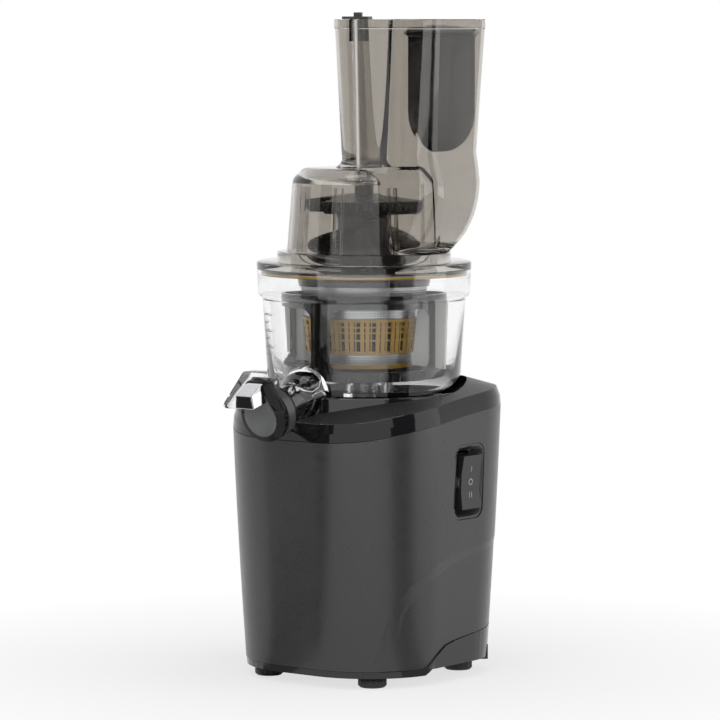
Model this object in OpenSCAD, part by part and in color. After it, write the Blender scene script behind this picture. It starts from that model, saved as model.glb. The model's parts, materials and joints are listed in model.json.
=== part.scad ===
// Cold press juicer: motor base, clear juicing bowl with strainer, auger and rotating wiper,
// smoked lid with a wide feed tower, hinged spout cap and side switch.
// Millimetres. +Z is up and the drive axis is the line X = Y = 0. The feet rest on Z = 0.
// The spout points to -Y, the pulp outlet to -X and the switch to +X.

/* [Housing] */
// Half of the housing's width at its foot
foot_half = 80; // [76:0.5:84]
// Half of the housing's width at its top
top_half = 88.5; // [86:0.5:92]
// Corner radius of the plan at the front, at the foot
foot_front_r = 62; // [56:1:68]
// Corner radius of the plan at the back, at the foot
foot_back_r = 51; // [46:1:58]
// Corner radius of the plan at the front, at the top
top_front_r = 66; // [60:1:72]
// Corner radius of the plan at the back, at the top
top_back_r = 56; // [50:1:62]
// How far the housing's sides bow outwards at mid height
side_bow = 0.8; // [0:0.1:2]
// Wall of the housing
housing_wall = 2.6; // [2:0.1:3.4]
// Height of the seam between the base tray and the housing at the front
seam_z = 13; // [12:0.5:15]
// How far that seam rises towards the back
arch_rise = 25; // [15:1:30]
// Height of the housing's upper edge at the front
front_edge_z = 179.5; // [174:0.5:184]
// How far that upper edge rises towards the back
edge_rise = 21; // [15:0.5:24]

/* [Base] */
// Height of the front feet
foot_h = 8; // [6:0.5:9]
// How much higher the tray's underside lies towards the back
tray_step = 4; // [2:0.5:5]
// Radius of a foot
foot_r = 10.5; // [8:0.5:13]
// Half of the distance between the feet along X
foot_x = 48; // [44:1:52]
// Half of the distance between the feet along Y
foot_y = 53; // [46:1:54]
// Thickness of the tray's floor
tray_floor = 3; // [2.4:0.2:4]
// Bore of the cord inlet
cord_bore_r = 3.6; // [3:0.1:4.5]

/* [Deck] */
// Height of the glossy deck above the housing's edge
deck_h = 13; // [11:0.5:15]
// Radius of the plinth that carries the bowl
plinth_r = 74; // [72:0.5:75]
// Height at which the bowl sits
seat_z = 211; // [210:0.5:213]

/* [Bowl] */
// Outer radius of the bowl above its floor
bowl_foot_r = 71; // [68:0.5:73]
// How much wider the bowl is below its collar than above its floor
bowl_flare = 4; // [3:0.5:6]
// Height of the bowl from seat to rim
bowl_h = 89.6; // [86:0.2:96]
// Wall of the bowl
bowl_wall = 2.6; // [2:0.1:3]
// How far the bowl's collar stands out from the wall below it
collar_out = 4; // [3.5:0.1:5]
// Height of the collar
collar_h = 18; // [16:0.5:20]
// Outer radius of the juice spout
spout_r = 14.5; // [13:0.5:15.5]
// Wall of the juice spout
spout_wall = 2.4; // [2:0.1:3]
// Slope of the juice spout below the horizontal
spout_tilt = 15; // [12:1:17]
// Distance of the spout's mouth from the drive axis
spout_reach = 115; // [113:0.2:118]
// Height of the centre of the spout's mouth
spout_z = 201; // [200:0.1:203]
// How far the pulp outlet reaches from the drive axis
pulp_reach = 121; // [117:1:129]
// Width of the pulp outlet
pulp_w = 34; // [28:1:40]

/* [Strainer and wiper] */
// Height of the strainer's lower end above the bowl's seat
strainer_lift = 17; // [16.5:0.25:18]
// Height of the strainer's perforated wall
strainer_h = 62; // [58:1:64]
// How much narrower the strainer is at its lower end than at its upper end
strainer_taper = 6.6; // [5.6:0.2:7.6]
// Space between the strainer's upper end and the wiper's frame
strainer_space = 12.4; // [11:0.2:14]
// Number of slots in the strainer's amber band
slot_count = 36; // [24:1:44]
// Space between the inside of the wiper's frame and the outside of the bowl's foot
wiper_space = 12; // [11:0.5:14]

/* [Auger] */
// Radius of the cutting disc at the auger's top
disc_r = 43; // [40:0.5:44]
// Height of the cutting disc's upper edge above the bowl's seat
disc_z = 144; // [138:1:146]
// Number of screw flights
flight_count = 2; // [1:1:3]
// Turns that each flight makes
flight_turns = 1.4; // [1:0.1:1.8]
// Thickness of a flight
flight_w = 4; // [3:0.5:5]

/* [Lid and tower] */
// How far the lid's flange stands out over the bowl's collar
lid_over = 0.3; // [0:0.1:1.5]
// Thickness of the lid's flange
lid_flange = 5.4; // [4.6:0.2:6]
// Radius of the raised ring on the lid
lid_ring_r = 64.2; // [62:0.2:66]
// Height of that ring
lid_ring_h = 7.5; // [6:0.5:9]
// Radius of the dome at its foot
dome_foot_r = 57; // [56:0.5:59]
// Radius of the dome at its shoulder
dome_top_r = 53; // [51:0.5:55]
// Height of the dome above the ring
dome_h = 61.5; // [60:0.5:64]
// Wall of the lid, dome and tower
lid_wall = 2.4; // [2:0.1:2.8]
// Left side of the feed tower
tower_left = 12; // [11:0.5:15]
// Right side of the feed tower's mouth
tower_right = 88.6; // [84:0.2:92]
// Half of the feed tower's depth
tower_half = 35.6; // [32:0.2:38]
// Corner radius of the tower
tower_corner = 10; // [8:0.5:14]
// Height of the tower above the dome
tower_h = 109; // [96:1:120]
// Radius of the slim tube at the mouth
slim_r = 21.8; // [20:0.2:23]
// Radius of the slim tube at the dome
slim_foot_r = 16; // [15:0.5:18]

/* [Spout cap] */
// Radius of the cap's black frame
cap_r = 19.2; // [18.4:0.2:20]
// Thickness of the cap's frame
cap_t = 6.4; // [5.6:0.2:8]
// Distance from the cap's centre to its hinge pin
cap_hinge_up = 23.5; // [23:0.25:26]

/* [Switch] */
// Height of the centre of the switch
switch_z = 147; // [135:1:155]
// Distance of the switch from the drive axis towards the back
switch_y = 13; // [5:1:20]
// Width of the switch's recess
switch_w = 36; // [32:1:40]
// Height of the switch's recess
switch_h = 55; // [50:1:60]

/* [Drive] */
// Module of the first gear pair
first_module = 0.7; // [0.7:0.05:0.8]
// Teeth of the first gear
first_teeth = 96; // [84:2:96]
// Module of the second gear pair
second_module = 1.2; // [1.1:0.05:1.3]
// Teeth of the output gear
output_teeth = 70; // [60:2:72]
// Teeth of each pinion
pinion_teeth = 16; // [16:1:18]
// Direction from the drive axis to the intermediate shaft
intermediate_turn = 135; // [125:1:138]
// Direction from the intermediate shaft to the motor
motor_turn = -20; // [-22:1:-10]
// Radius of the motor's stator
stator_r = 38; // [34:1:40]
// Height of the motor's stator
stator_h = 60; // [50:2:60]
// Width across the flats of the drive shaft's hexagon
hex_flats = 15; // [13:0.5:16]

/* [Hidden] */
$fn = 96;
// Overrun that lets a cut pass through a face
over = 1;
// Gap between fixed neighbours
gap = 0.3;
// Radial clearance of a shaft in its bore
run_gap = 0.06;
// Clearance around loose sliding pieces
slip = 0.5;

// Steel chassis plate on rubber dampers, above the motor
chassis_z = 117;
chassis_t = 3;
damper_h = 4;

// Radii of the bowl and of what stands in it, from the bowl's foot
bowl_top_r = bowl_foot_r + bowl_flare;
collar_r = bowl_top_r + collar_out;
lid_r = collar_r + lid_over;
wiper_r = bowl_foot_r - wiper_space;
strainer_top_r = wiper_r - strainer_space;
strainer_foot_r = strainer_top_r - strainer_taper;

// Points on each rounded corner and on each straight side of a plan
corner_steps = 12;
side_steps = 4;
round_steps = 6;

function mix(a, b, t) = a + (b - a) * t;
function arc(cx, cy, r, start, steps) =
    [for (i = [0:steps]) [cx + r * cos(start + 90 * i / steps), cy + r * sin(start + 90 * i / steps)]];
function between(p, q, steps) = [for (i = [1:1:steps - 1]) mix(p, q, i / steps)];

// Rounded plan from its left, right, front and back sides and its corner radii
function plan(left, right, front, back, front_r, back_r, cs = corner_steps, ss = side_steps) =
    let (
        br = arc(right - back_r, back - back_r, back_r, 0, cs),
        bl = arc(left + back_r, back - back_r, back_r, 90, cs),
        fl = arc(left + front_r, front + front_r, front_r, 180, cs),
        fr = arc(right - front_r, front + front_r, front_r, 270, cs)
    )
    concat(
        br, between(br[cs], bl[0], ss), bl, between(bl[cs], fl[0], ss),
        fl, between(fl[cs], fr[0], ss), fr, between(fr[cs], br[0], ss)
    );

function band(a, b, n) = [for (i = [0:n - 1], k = [0, 1])
    let (j = (i + 1) % n) k == 0 ? [a * n + i, b * n + j, a * n + j] : [a * n + i, b * n + i, b * n + j]];

// Solid through a stack of rings with equal numbers of points, closed at both ends
module loft(rings) {
    n = len(rings[0]);
    last = len(rings) - 1;
    all_points = [for (ring = rings) each ring];
    low = [for (a = [0:2]) let (s = [for (p = rings[0]) p[a]]) total(s) / n];
    high = [for (a = [0:2]) let (s = [for (p = rings[last]) p[a]]) total(s) / n];
    sides = [for (k = [0:last - 1]) each band(k, k + 1, n)];
    bottom = [for (i = [0:n - 1]) [n * (last + 1), i, (i + 1) % n]];
    top = [for (i = [0:n - 1]) [n * (last + 1) + 1, n * last + (i + 1) % n, n * last + i]];
    polyhedron(points = concat(all_points, [low, high]), faces = concat(sides, bottom, top));
}

// Tube through rings that run up the outside and back down the inside
module tube(rings) {
    n = len(rings[0]);
    count = len(rings);
    faces = [for (k = [0:count - 1]) each band(k, (k + 1) % count, n)];
    polyhedron(points = [for (ring = rings) each ring], faces = faces);
}

function total(v, i = 0) = i < len(v) ? v[i] + total(v, i + 1) : 0;

module ring(outer, inner, h) {
    difference() {
        cylinder(r = outer, h = h);
        translate([0, 0, -over]) cylinder(r = inner, h = h + 2 * over);
    }
}

module at_corners(x, y) {
    for (i = [-1, 1], j = [-1, 1]) translate([i * x, j * y, 0]) children();
}

module rounded_box(size, r, h) {
    linear_extrude(height = h) rounded_rectangle(size, r);
}

module rounded_rectangle(size, r) {
    x = size[0] / 2;
    y = size[1] / 2;
    polygon(plan(-x, x, -y, y, r, r, round_steps, 1));
}

// Housing: its plan widens upwards, and its lower and upper edges are curved lines over Y
housing_top_z = front_edge_z + edge_rise;
line_y_shares = [-1, -0.85, -0.68, -0.45, 0.09, 0.57, 1];
edge_rise_shares = [0, 0.12, 0.31, 0.48, 0.79, 0.98, 1];
arch_y_shares = [-0.42, -0.35, -0.28, -0.19, -0.08, 0, 0.25, 0.75, 1];
arch_rise_shares = [0, 0.03, 0.16, 0.42, 0.6, 0.67, 0.78, 0.95, 1];

function line(shares, rises, y, half) =
    lookup(y / half, [for (i = [0:len(shares) - 1]) [shares[i], rises[i]]]);
function edge_z(y) = front_edge_z + edge_rise * line(line_y_shares, edge_rise_shares, y, top_half);
function arch_z(y) = seam_z + arch_rise * line(arch_y_shares, arch_rise_shares, y, foot_half);

foot_plan = plan(-foot_half, foot_half, -foot_half, foot_half, foot_front_r, foot_back_r);
top_plan = plan(-top_half, top_half, -top_half, top_half, top_front_r, top_back_r);

// A point of the housing's outer face at height z, moved inwards by the given inset
function outward(p) = p / norm(p);
function skin_point(i, z, inset) =
    let (
        t = (z - foot_h) / (housing_top_z - foot_h),
        p = mix(foot_plan[i], top_plan[i], t),
        reach = side_bow * 4 * t * (1 - t) - inset
    )
    [p[0] + reach * outward(p)[0], p[1] + reach * outward(p)[1], z];
function skin_ring(share, inset, low_shift = 0, high_shift = 0) = [for (i = [0:len(top_plan) - 1])
    let (
        y = top_plan[i][1],
        low = arch_z(foot_plan[i][1]) + low_shift,
        high = edge_z(y) + high_shift
    )
    skin_point(i, mix(low, high, share), inset)];
housing_shares = [0, 0.1, 0.25, 0.4, 0.55, 0.7, 0.85, 1];
inner_shares = [1, 0.66, 0.33, 0];

// Switch recess in the side wall
switch_corner = 8;
switch_depth = 12;
switch_x = mix(foot_half, top_half, (switch_z - foot_h) / (housing_top_z - foot_h)) + side_bow;
switch_lean = atan((top_half - foot_half) / (housing_top_z - foot_h));
module at_switch() {
    translate([switch_x, switch_y, switch_z]) rotate([0, 90 + switch_lean, 0]) children();
}

// Screw bosses inside the housing, one in each corner, each tied to the wall by a rib
boss_r = 4;
boss_bore_r = 1.6;
boss_h = 44;
boss_turn = 20;
boss_rib_t = 2;
boss_screw_l = 18;
function boss_reach(r) = r - tray_inset - tray_wall - gap - boss_r;
module at_bosses() {
    for (i = [0, 1], back = [0, 1]) mirror([i, 0, 0]) mirror([0, 1 - back, 0])
        let (r = back == 1 ? foot_back_r : foot_front_r)
        translate([foot_half - r, foot_half - r, foot_h + back * tray_step])
        rotate([0, 0, boss_turn]) translate([boss_reach(r), 0, 0]) children();
}
module housing_bosses() {
    foot = tray_floor + gap;
    rib_z = arch_rise + housing_wall;
    difference() {
        union() {
            at_bosses() translate([0, 0, foot]) cylinder(r = boss_r, h = boss_h);
            intersection() {
                at_bosses() translate([0, -boss_rib_t / 2, rib_z])
                    cube([boss_r + tray_wall + top_half - foot_half, boss_rib_t, foot + boss_h - rib_z]);
                loft([for (s = housing_shares) skin_ring(s, housing_wall / 2)]);
            }
        }
        at_bosses() translate([0, 0, foot - over]) cylinder(r = boss_bore_r, h = boss_screw_l + over);
    }
}

module housing() {
    color([0.31, 0.31, 0.32]) {
    housing_bosses();
    difference() {
        tube(concat(
            [for (s = housing_shares) skin_ring(s, 0)],
            [for (s = inner_shares) skin_ring(s, housing_wall)]
        ));
        at_switch() translate([0, 0, -switch_depth])
            rounded_box([switch_h + 2 * gap, switch_w + 2 * gap], switch_corner, switch_depth + 2 * over);
    }
    }
}

// Deck: two slanting facets, a sloped top face and the round plinth for the bowl
deck_facet_share = 0.5;
deck_facet_inset = 0.6;
deck_edge_inset = 3;
deck_wall = 2.6;
plinth_top = seat_z - gap;
plinth_wall = 3;
plinth_foot_z = front_edge_z + deck_h - plinth_wall;
recess_play = 5;
recess_r = bowl_foot_r + recess_play;
seat_ring_r = recess_r + plinth_wall;
deck_far_share = 0.35;
deck_crown = 9;
deck_far_inset = deck_far_share * top_half;

function deck_ring(rise, inset) = [for (i = [0:len(top_plan) - 1])
    let (
        p = skin_point(i, edge_z(top_plan[i][1]), inset)
    )
    [p[0], p[1], edge_z(p[1]) + rise]];

module deck_outside() {
    loft([
        deck_ring(gap, 0), deck_ring(deck_h * deck_facet_share, deck_facet_inset),
        deck_ring(deck_h, deck_edge_inset), deck_ring(deck_h + deck_crown, deck_edge_inset + deck_far_inset)
    ]);
}

module deck_inside() {
    loft([
        deck_ring(gap - over, deck_wall), deck_ring(deck_h * deck_facet_share, deck_wall + deck_facet_inset),
        deck_ring(deck_h - deck_wall, deck_edge_inset + deck_wall),
        deck_ring(deck_h - deck_wall + deck_crown, deck_edge_inset + deck_far_inset)
    ]);
}

spout_in = 12.7;
spout_inner = (spout_reach - bowl_foot_r + spout_in) / cos(spout_tilt);
trough_more = 2.5;
trough_l = spout_inner + trough_more;
module spout_trough(r) {
    at_spout() translate([0, 0, -trough_l - plinth_wall]) cylinder(r = r, h = trough_l);
}
module plinth() {
    translate([0, 0, plinth_foot_z]) cylinder(r = plinth_r, h = plinth_top - plinth_foot_z);
}
module top_deck() {
    trough_r = spout_r + 2 * slip;
    color([0.09, 0.09, 0.1])
    difference() {
        union() {
            difference() {
                union() {
                    difference() {
                        deck_outside();
                        deck_inside();
                    }
                    intersection() {
                        deck_outside();
                        translate([0, 0, plinth_foot_z]) cylinder(r = seat_ring_r, h = housing_top_z);
                    }
                    plinth();
                }
                translate([0, 0, plinth_foot_z - deck_h]) cylinder(
                    r = plinth_r - plinth_wall, h = plinth_top - plinth_wall - plinth_foot_z + deck_h);
            }
            translate([0, 0, deck_hub_z]) cylinder(r = seal_r + plinth_wall, h = plinth_top - deck_hub_z);
            intersection() {
                plinth();
                spout_trough(trough_r + plinth_wall);
            }
        }
        translate([0, 0, plinth_top]) cylinder(r = recess_r, h = housing_top_z);
        translate([-pulp_reach, -pulp_w / 2 - slip, plinth_top])
            cube([pulp_reach, pulp_w + 2 * slip, housing_top_z]);
        at_spout() translate([0, 0, -trough_l]) cylinder(r = trough_r, h = trough_l);
        at_spout() translate([0, 0, -spout_end - collar_ring_h - gasket_t - slip])
            cylinder(r = spout_r + collar_ring_t + slip, h = collar_ring_h + gasket_t + spout_reach);
        translate([0, 0, deck_hub_z - over]) cylinder(r = seal_r, h = seat_z);
    }
}

// Base tray, its posts and the vents under the fan
tray_inset = 0.3;
tray_wall = 2.4;
post_r = 5.5;
post_x = 56;
post_y = 44;
post_bore_r = 1.6;
post_bore_h = 18;
post_top_z = chassis_z - damper_h;
vent_count = 5;
vent_w = 3;
vent_step = 8;
vent_l = 44;
board_post_r = 3;
tray_fall_y = -22;
tray_fall_w = 7;
function tray_ring(inset, z) = [for (i = [0:len(foot_plan) - 1]) skin_point(i, z, inset)];
function tray_edge(inset, lift = 0) = [for (i = [0:len(foot_plan) - 1])
    skin_point(i, arch_z(foot_plan[i][1]) - gap + lift, inset)];
module tray_outside() { loft([tray_ring(tray_inset, foot_h), tray_edge(tray_inset)]); }
// Slab across the whole width under the raised back of the tray, between two heights
module back_slab(low, high) {
    w = 2 * foot_half + 2 * over;
    rotate([90, 0, 90]) translate([0, 0, -w / 2]) linear_extrude(height = w) polygon([
        [tray_fall_y - tray_fall_w, low], [w / 2, low], [w / 2, high], [tray_fall_y, high],
        [tray_fall_y - tray_fall_w, low + over]
    ]);
}

module base_tray() {
    color([0.2, 0.2, 0.21])
    difference() {
        union() {
            difference() {
                tray_outside();
                loft([
                    tray_ring(tray_inset + tray_wall, foot_h + tray_floor),
                    tray_edge(tray_inset + tray_wall, over)
                ]);
            }
            intersection() {
                tray_outside();
                back_slab(foot_h + tray_floor - over, foot_h + tray_step + tray_floor);
            }
            for (i = [-1, 1], back = [0, 1])
                translate([i * post_x, (2 * back - 1) * post_y, foot_h + back * tray_step + tray_floor / 2])
                    cylinder(r = post_r, h = post_top_z - foot_h - back * tray_step - tray_floor / 2);
            at_board() at_corners(board_w / 2 - board_post_r, board_d / 2 - board_post_r)
                translate([0, 0, -board_lift]) cylinder(r = board_post_r, h = board_lift);
        }
        back_slab(foot_h - over, foot_h + tray_step);
        at_corners(post_x, post_y) translate([0, 0, post_top_z - post_bore_h])
            cylinder(r = post_bore_r, h = post_bore_h + over);
        at_bosses() translate([0, 0, -over]) cylinder(r = boss_bore_r + slip, h = tray_floor + 2 * over);
        at_bosses() translate([0, 0, -over]) cylinder(r = screw_head_r + gap, h = screw_head_h + gap + over);
        for (i = [-(vent_count - 1) / 2:(vent_count - 1) / 2])
            translate([motor_x + i * vent_step - vent_w / 2, motor_y - vent_l / 2, -over])
                cube([vent_w, vent_l, foot_h + tray_step + tray_floor + 2 * over]);
        at_gland() translate([-gap, -gland_w / 2 - gap, -gland_low - over])
            cube([gland_d + foot_r, gland_w + 2 * gap, gland_low + gland_high + gap + over]);
        at_gland() rotate([0, -90, 0]) cylinder(r = cord_bore_r + slip, h = gland_d);
        translate([-panel_w / 2 - gap, foot_half - tray_wall - 2 * over, panel_low - gap])
            cube([panel_w + 2 * gap, tray_wall + 4 * over, panel_h + over + 2 * gap]);
    }
}

foot_chamfer = 1.5;
module foot(h) {
    rotate_extrude() polygon([
        [0, 0], [foot_r - foot_chamfer, 0], [foot_r, foot_chamfer], [foot_r, h], [0, h]
    ]);
}
module feet() {
    color([0.06, 0.06, 0.06])
    for (i = [-1, 1]) {
        translate([i * foot_x, -foot_y, 0]) foot(foot_h);
        translate([i * foot_x, foot_y, 0]) foot(foot_h + tray_step);
    }
}

// Rear vent panel that closes the arch at the back
panel_w = 76;
panel_h = 18;
panel_lift = 2;
panel_low = foot_h + tray_step + tray_floor + panel_lift;
panel_t = 2.4;
louvre_count = 5;
louvre_h = 1.6;
louvre_from_share = 0.1;
louvre_share = 0.5;
module rear_panel() {
    louvre_pitch = panel_h / (louvre_count + 1);
    color([0.05, 0.05, 0.05])
    translate([-panel_w / 2, foot_half - tray_wall - over, panel_low])
    difference() {
        cube([panel_w, panel_t, panel_h]);
        for (i = [1:louvre_count])
            translate([panel_w * louvre_from_share, -over, i * louvre_pitch - louvre_h / 2])
                cube([panel_w * louvre_share, panel_t + 2 * over, louvre_h]);
    }
}

// Cord inlet: a block in a notch of the tray's back right corner, with its bore facing outwards
gland_turn = 45;
gland_in = 9.7;
gland_from = (foot_half - foot_back_r) * sqrt(2) + foot_back_r - gland_in;
gland_z = 16;
gland_w = 26;
gland_d = 9;
gland_low = 6.5;
gland_high = 4.5;
gland_flange = 1.5;
module at_gland() { rotate([0, 0, gland_turn]) translate([gland_from, 0, gland_z]) children(); }
module cord_gland() {
    color([0.05, 0.05, 0.05])
    difference() {
        at_gland() translate([0, -gland_w / 2, -gland_low])
            cube([gland_d, gland_w, gland_low + gland_high]);
        at_gland() translate([-over, 0, 0]) rotate([0, 90, 0])
            cylinder(r = cord_bore_r, h = gland_d + 2 * over);
        for (i = [-2, -1, 1, 2]) at_gland()
            translate([gland_d - gland_flange, i * gland_w / 6 - gland_flange / 2, -gland_low - over])
                cube([gland_d, gland_flange, gland_low + gland_high + 2 * over]);
    }
}

// Switch: bezel in the recess, rocker on a pin axis along Y, and the switch body behind
bezel_t = 2.2;
bezel_lip = 0.8;
rocker_w = 24;
rocker_h = 43;
rocker_gap = 0.6;
rocker_out = 3;
rocker_pin_r = 2;
rocker_axis_depth = 5;
rocker_corner = 3;
cheek_t = 3;
cheek_w = 9;
cheek_more = 1;
module switch_bezel() {
    axis_z = switch_depth - rocker_axis_depth;
    cheek_h = axis_z + rocker_pin_r + cheek_more;
    color([0.1, 0.1, 0.1])
    at_switch() translate([0, 0, -switch_depth])
    difference() {
        union() {
            difference() {
                rounded_box([switch_h, switch_w], switch_corner, switch_depth - bezel_lip);
                translate([0, 0, bezel_t]) rounded_box(
                    [switch_h - 2 * bezel_t, switch_w - 2 * bezel_t], switch_corner - bezel_t, switch_depth);
            }
            for (i = [-1, 1]) translate([-cheek_w / 2, i * (rocker_w + cheek_t) / 2 - cheek_t / 2, 0])
                cube([cheek_w, cheek_t, cheek_h]);
        }
        translate([0, 0, -over]) rounded_box([rocker_h, rocker_w], rocker_corner, switch_depth + over);
        translate([0, -switch_w / 2 + bezel_t, axis_z]) rotate([-90, 0, 0])
            cylinder(r = rocker_pin_r, h = switch_w - 2 * bezel_t);
    }
}

module_edge = 2;
terminal_t = 2;
terminal_l = 3 * terminal_t;
module_clear = 0.6;
module switch_module() {
    module_d = switch_x - switch_depth - terminal_l - gap - output_case_r - gearbox_wall - module_clear;
    module_w = rocker_w + 2 * module_edge;
    module_h = rocker_h - 2 * module_edge;
    color([0.15, 0.15, 0.15])
    at_switch() translate([0, 0, -switch_depth - module_d - gap]) {
        rounded_box([module_h, module_w], module_edge, module_d);
        for (i = [-1, 0, 1]) translate([i * module_h / 3, 0, -terminal_l])
            rounded_box([terminal_t, terminal_l], terminal_t / 4, terminal_l);
    }
}

rocker_hollow_share = 0.4;
module rocker() {
    thick = switch_depth - rocker_axis_depth;
    half = rocker_h / 2 - 3 * rocker_gap;
    pin_l = rocker_w + 2 * cheek_t - 2 * gap;
    face = rocker_axis_depth + rocker_out;
    hollow = rocker_axis_depth + rocker_out * rocker_hollow_share;
    color([0.07, 0.07, 0.07])
    at_switch() translate([0, 0, -rocker_axis_depth]) rotate([-90, 0, 0]) {
        translate([0, 0, -rocker_w / 2 + rocker_gap]) linear_extrude(height = rocker_w - 2 * rocker_gap)
            polygon([
                [-half, -face], [-half / 3, -hollow], [half / 3, -hollow], [half, -face],
                [half, -rocker_pin_r / 2], [half / 4, thick - rocker_pin_r],
                [-half / 4, thick - rocker_pin_r], [-half, -rocker_pin_r / 2]
            ]);
        translate([0, 0, -pin_l / 2]) cylinder(r = rocker_pin_r - run_gap, h = pin_l);
    }
}

// Drive train: motor, intermediate shaft and output shaft stand side by side
first_distance = first_module * (first_teeth + pinion_teeth) / 2;
second_distance = second_module * (output_teeth + pinion_teeth) / 2;
middle_x = second_distance * cos(intermediate_turn);
middle_y = second_distance * sin(intermediate_turn);
motor_x = middle_x + first_distance * cos(motor_turn);
motor_y = middle_y + first_distance * sin(motor_turn);
cover_h = 13;
shaft_r = 4;
module at_motor() { translate([motor_x, motor_y, 0]) children(); }
module at_middle() { translate([middle_x, middle_y, 0]) children(); }

// Involute outline: addendum and dedendum in modules, thin is the play taken off each tooth
pressure_angle = 20;
addendum_share = 0.85;
dedendum_share = 1.2;
backlash = 0.2;
flank_steps = 3;
function roll(r, base_r) = let (t = sqrt(max(0, pow(r / base_r, 2) - 1))) t * 180 / PI - atan(t);
function gear_outline(m, teeth, add = addendum_share, ded = dedendum_share, thin = backlash) =
    let (
        pitch_r = m * teeth / 2,
        base_r = pitch_r * cos(pressure_angle),
        root_r = pitch_r - ded * m,
        tip_r = pitch_r + add * m,
        start_r = max(base_r, root_r),
        half = 90 / teeth - thin / 2 / pitch_r * 180 / PI + roll(pitch_r, base_r),
        radii = [for (k = [0:flank_steps]) mix(start_r, tip_r, k / flank_steps)]
    )
    [for (i = [0:teeth - 1]) each concat(
        root_r < base_r ? [polar(root_r, 360 * i / teeth - half)] : [],
        [for (r = radii) polar(r, 360 * i / teeth - half + roll(r, base_r))],
        [for (k = [flank_steps:-1:0]) polar(radii[k], 360 * i / teeth + half - roll(radii[k], base_r))],
        root_r < base_r ? [polar(root_r, 360 * i / teeth + half)] : []
    )];
function polar(r, a) = [r * cos(a), r * sin(a)];

module gear(m, teeth, width, bore, turn) {
    difference() {
        rotate([0, 0, turn]) linear_extrude(height = width) polygon(gear_outline(m, teeth));
        translate([0, 0, -over]) cylinder(r = bore, h = width + 2 * over);
    }
}

// Heights of the drive train
gearbox_floor_z = chassis_z + chassis_t;
gearbox_floor = 3;
gear_play = 2;
first_gear_z = gearbox_floor_z + gearbox_floor + gear_play;
first_gear_w = 6;
output_gear_z = first_gear_z + first_gear_w + 2 * gear_play;
output_gear_w = 12;
cover_z = output_gear_z + output_gear_w + 2 * gear_play;
cover_t = 3;
gearbox_wall = 2.5;
tip_clear = 1.5;
middle_r = 5;
bush_wall = 3;
output_r = 8;
bearing_w = 6;
bearing_ring = 4;
boss_wall = 3;
output_boss_r = output_r + run_gap + bearing_ring + boss_wall;
output_case_r = second_module * (output_teeth / 2 + addendum_share) + tip_clear;
middle_case_r = first_module * (first_teeth / 2 + addendum_share) + tip_clear;
stator_z = chassis_z - cover_h - stator_h;
lower_cover_z = stator_z - cover_h;

module chassis_plate() {
    color([0.62, 0.63, 0.65])
    translate([0, 0, chassis_z])
    difference() {
        rounded_box([2 * (post_x + 1.5 * post_r), 2 * (post_y + 1.5 * post_r)], post_r, chassis_t);
        at_corners(post_x, post_y) translate([0, 0, -over])
            cylinder(r = post_bore_r, h = chassis_t + 2 * over);
        at_corners(post_x, post_y) translate([0, 0, chassis_t - screw_head_h - gap])
            cylinder(r = screw_head_r + gap, h = screw_head_h + gap + over);
        at_motor() translate([0, 0, -over]) cylinder(r = pinion_clear_r, h = chassis_t + 2 * over);
    }
}
pinion_clear_r = first_module * (pinion_teeth / 2 + addendum_share) + tip_clear;

module dampers() {
    color([0.08, 0.08, 0.08])
    at_corners(post_x, post_y) translate([0, 0, chassis_z - damper_h])
        ring(post_r, post_bore_r, damper_h);
}

winding_h = 8;
winding_in = 7;
winding_step = 1;
winding_r = stator_r - winding_in;
rotor_share = 0.56;
rotor_r = rotor_share * stator_r;
air_gap = 0.5;
module motor_stator() {
    color([0.55, 0.35, 0.2])
    at_motor() translate([0, 0, stator_z]) {
        ring(stator_r, rotor_r + air_gap, stator_h);
        translate([0, 0, -winding_h]) ring(winding_r, rotor_r + air_gap + winding_step, winding_h);
        translate([0, 0, stator_h]) ring(winding_r, rotor_r + air_gap + winding_step, winding_h);
    }
}

cover_wall = 3;
motor_bearing_r = 9;
shaft_slot = 2;
cover_slot_w = 4;
module motor_cover(h) {
    difference() {
        union() {
            ring(stator_r, stator_r - cover_wall, h);
            cylinder(r = stator_r, h = cover_wall);
            cylinder(r = motor_bearing_r + cover_wall, h = cover_wall + bearing_w);
        }
        translate([0, 0, -over]) cylinder(r = shaft_r + shaft_slot, h = h);
        translate([0, 0, cover_wall]) cylinder(r = motor_bearing_r, h = h);
    }
}
module motor_lower_cover() {
    color([0.7, 0.7, 0.72])
    at_motor() translate([0, 0, lower_cover_z])
    difference() {
        motor_cover(cover_h);
        for (i = [0:7]) rotate([0, 0, (i + 0.5) * 45])
            translate([motor_bearing_r + 2 * cover_wall, -cover_slot_w / 2, -over])
                cube([stator_r - motor_bearing_r - 4 * cover_wall, cover_slot_w, cover_wall + 2 * over]);
    }
}
module motor_upper_cover() {
    color([0.7, 0.7, 0.72])
    at_motor() translate([0, 0, chassis_z]) mirror([0, 0, 1]) motor_cover(cover_h);
}

module motor_bearings() {
    color([0.8, 0.8, 0.82])
    at_motor() {
        translate([0, 0, lower_cover_z + cover_wall]) ring(motor_bearing_r, shaft_r + run_gap, bearing_w);
        translate([0, 0, chassis_z - cover_wall - bearing_w])
            ring(motor_bearing_r, shaft_r + run_gap, bearing_w);
    }
}

fan_h = 9;
fan_gap = 1.5;
fan_z = lower_cover_z - fan_h - fan_gap;
module rotor() {
    color([0.6, 0.6, 0.62])
    at_motor() {
        translate([0, 0, stator_z]) cylinder(r = rotor_r, h = stator_h);
        translate([0, 0, fan_z]) cylinder(r = shaft_r, h = first_gear_z + first_gear_w - fan_z);
    }
}

pinion_more = 0.5;
module motor_pinion() {
    turn = motor_turn + 180 + 180 / pinion_teeth;
    color([0.75, 0.72, 0.6])
    at_motor() translate([0, 0, first_gear_z - pinion_more])
        gear(first_module, pinion_teeth, first_gear_w + 2 * pinion_more, shaft_r, turn);
}

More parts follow.
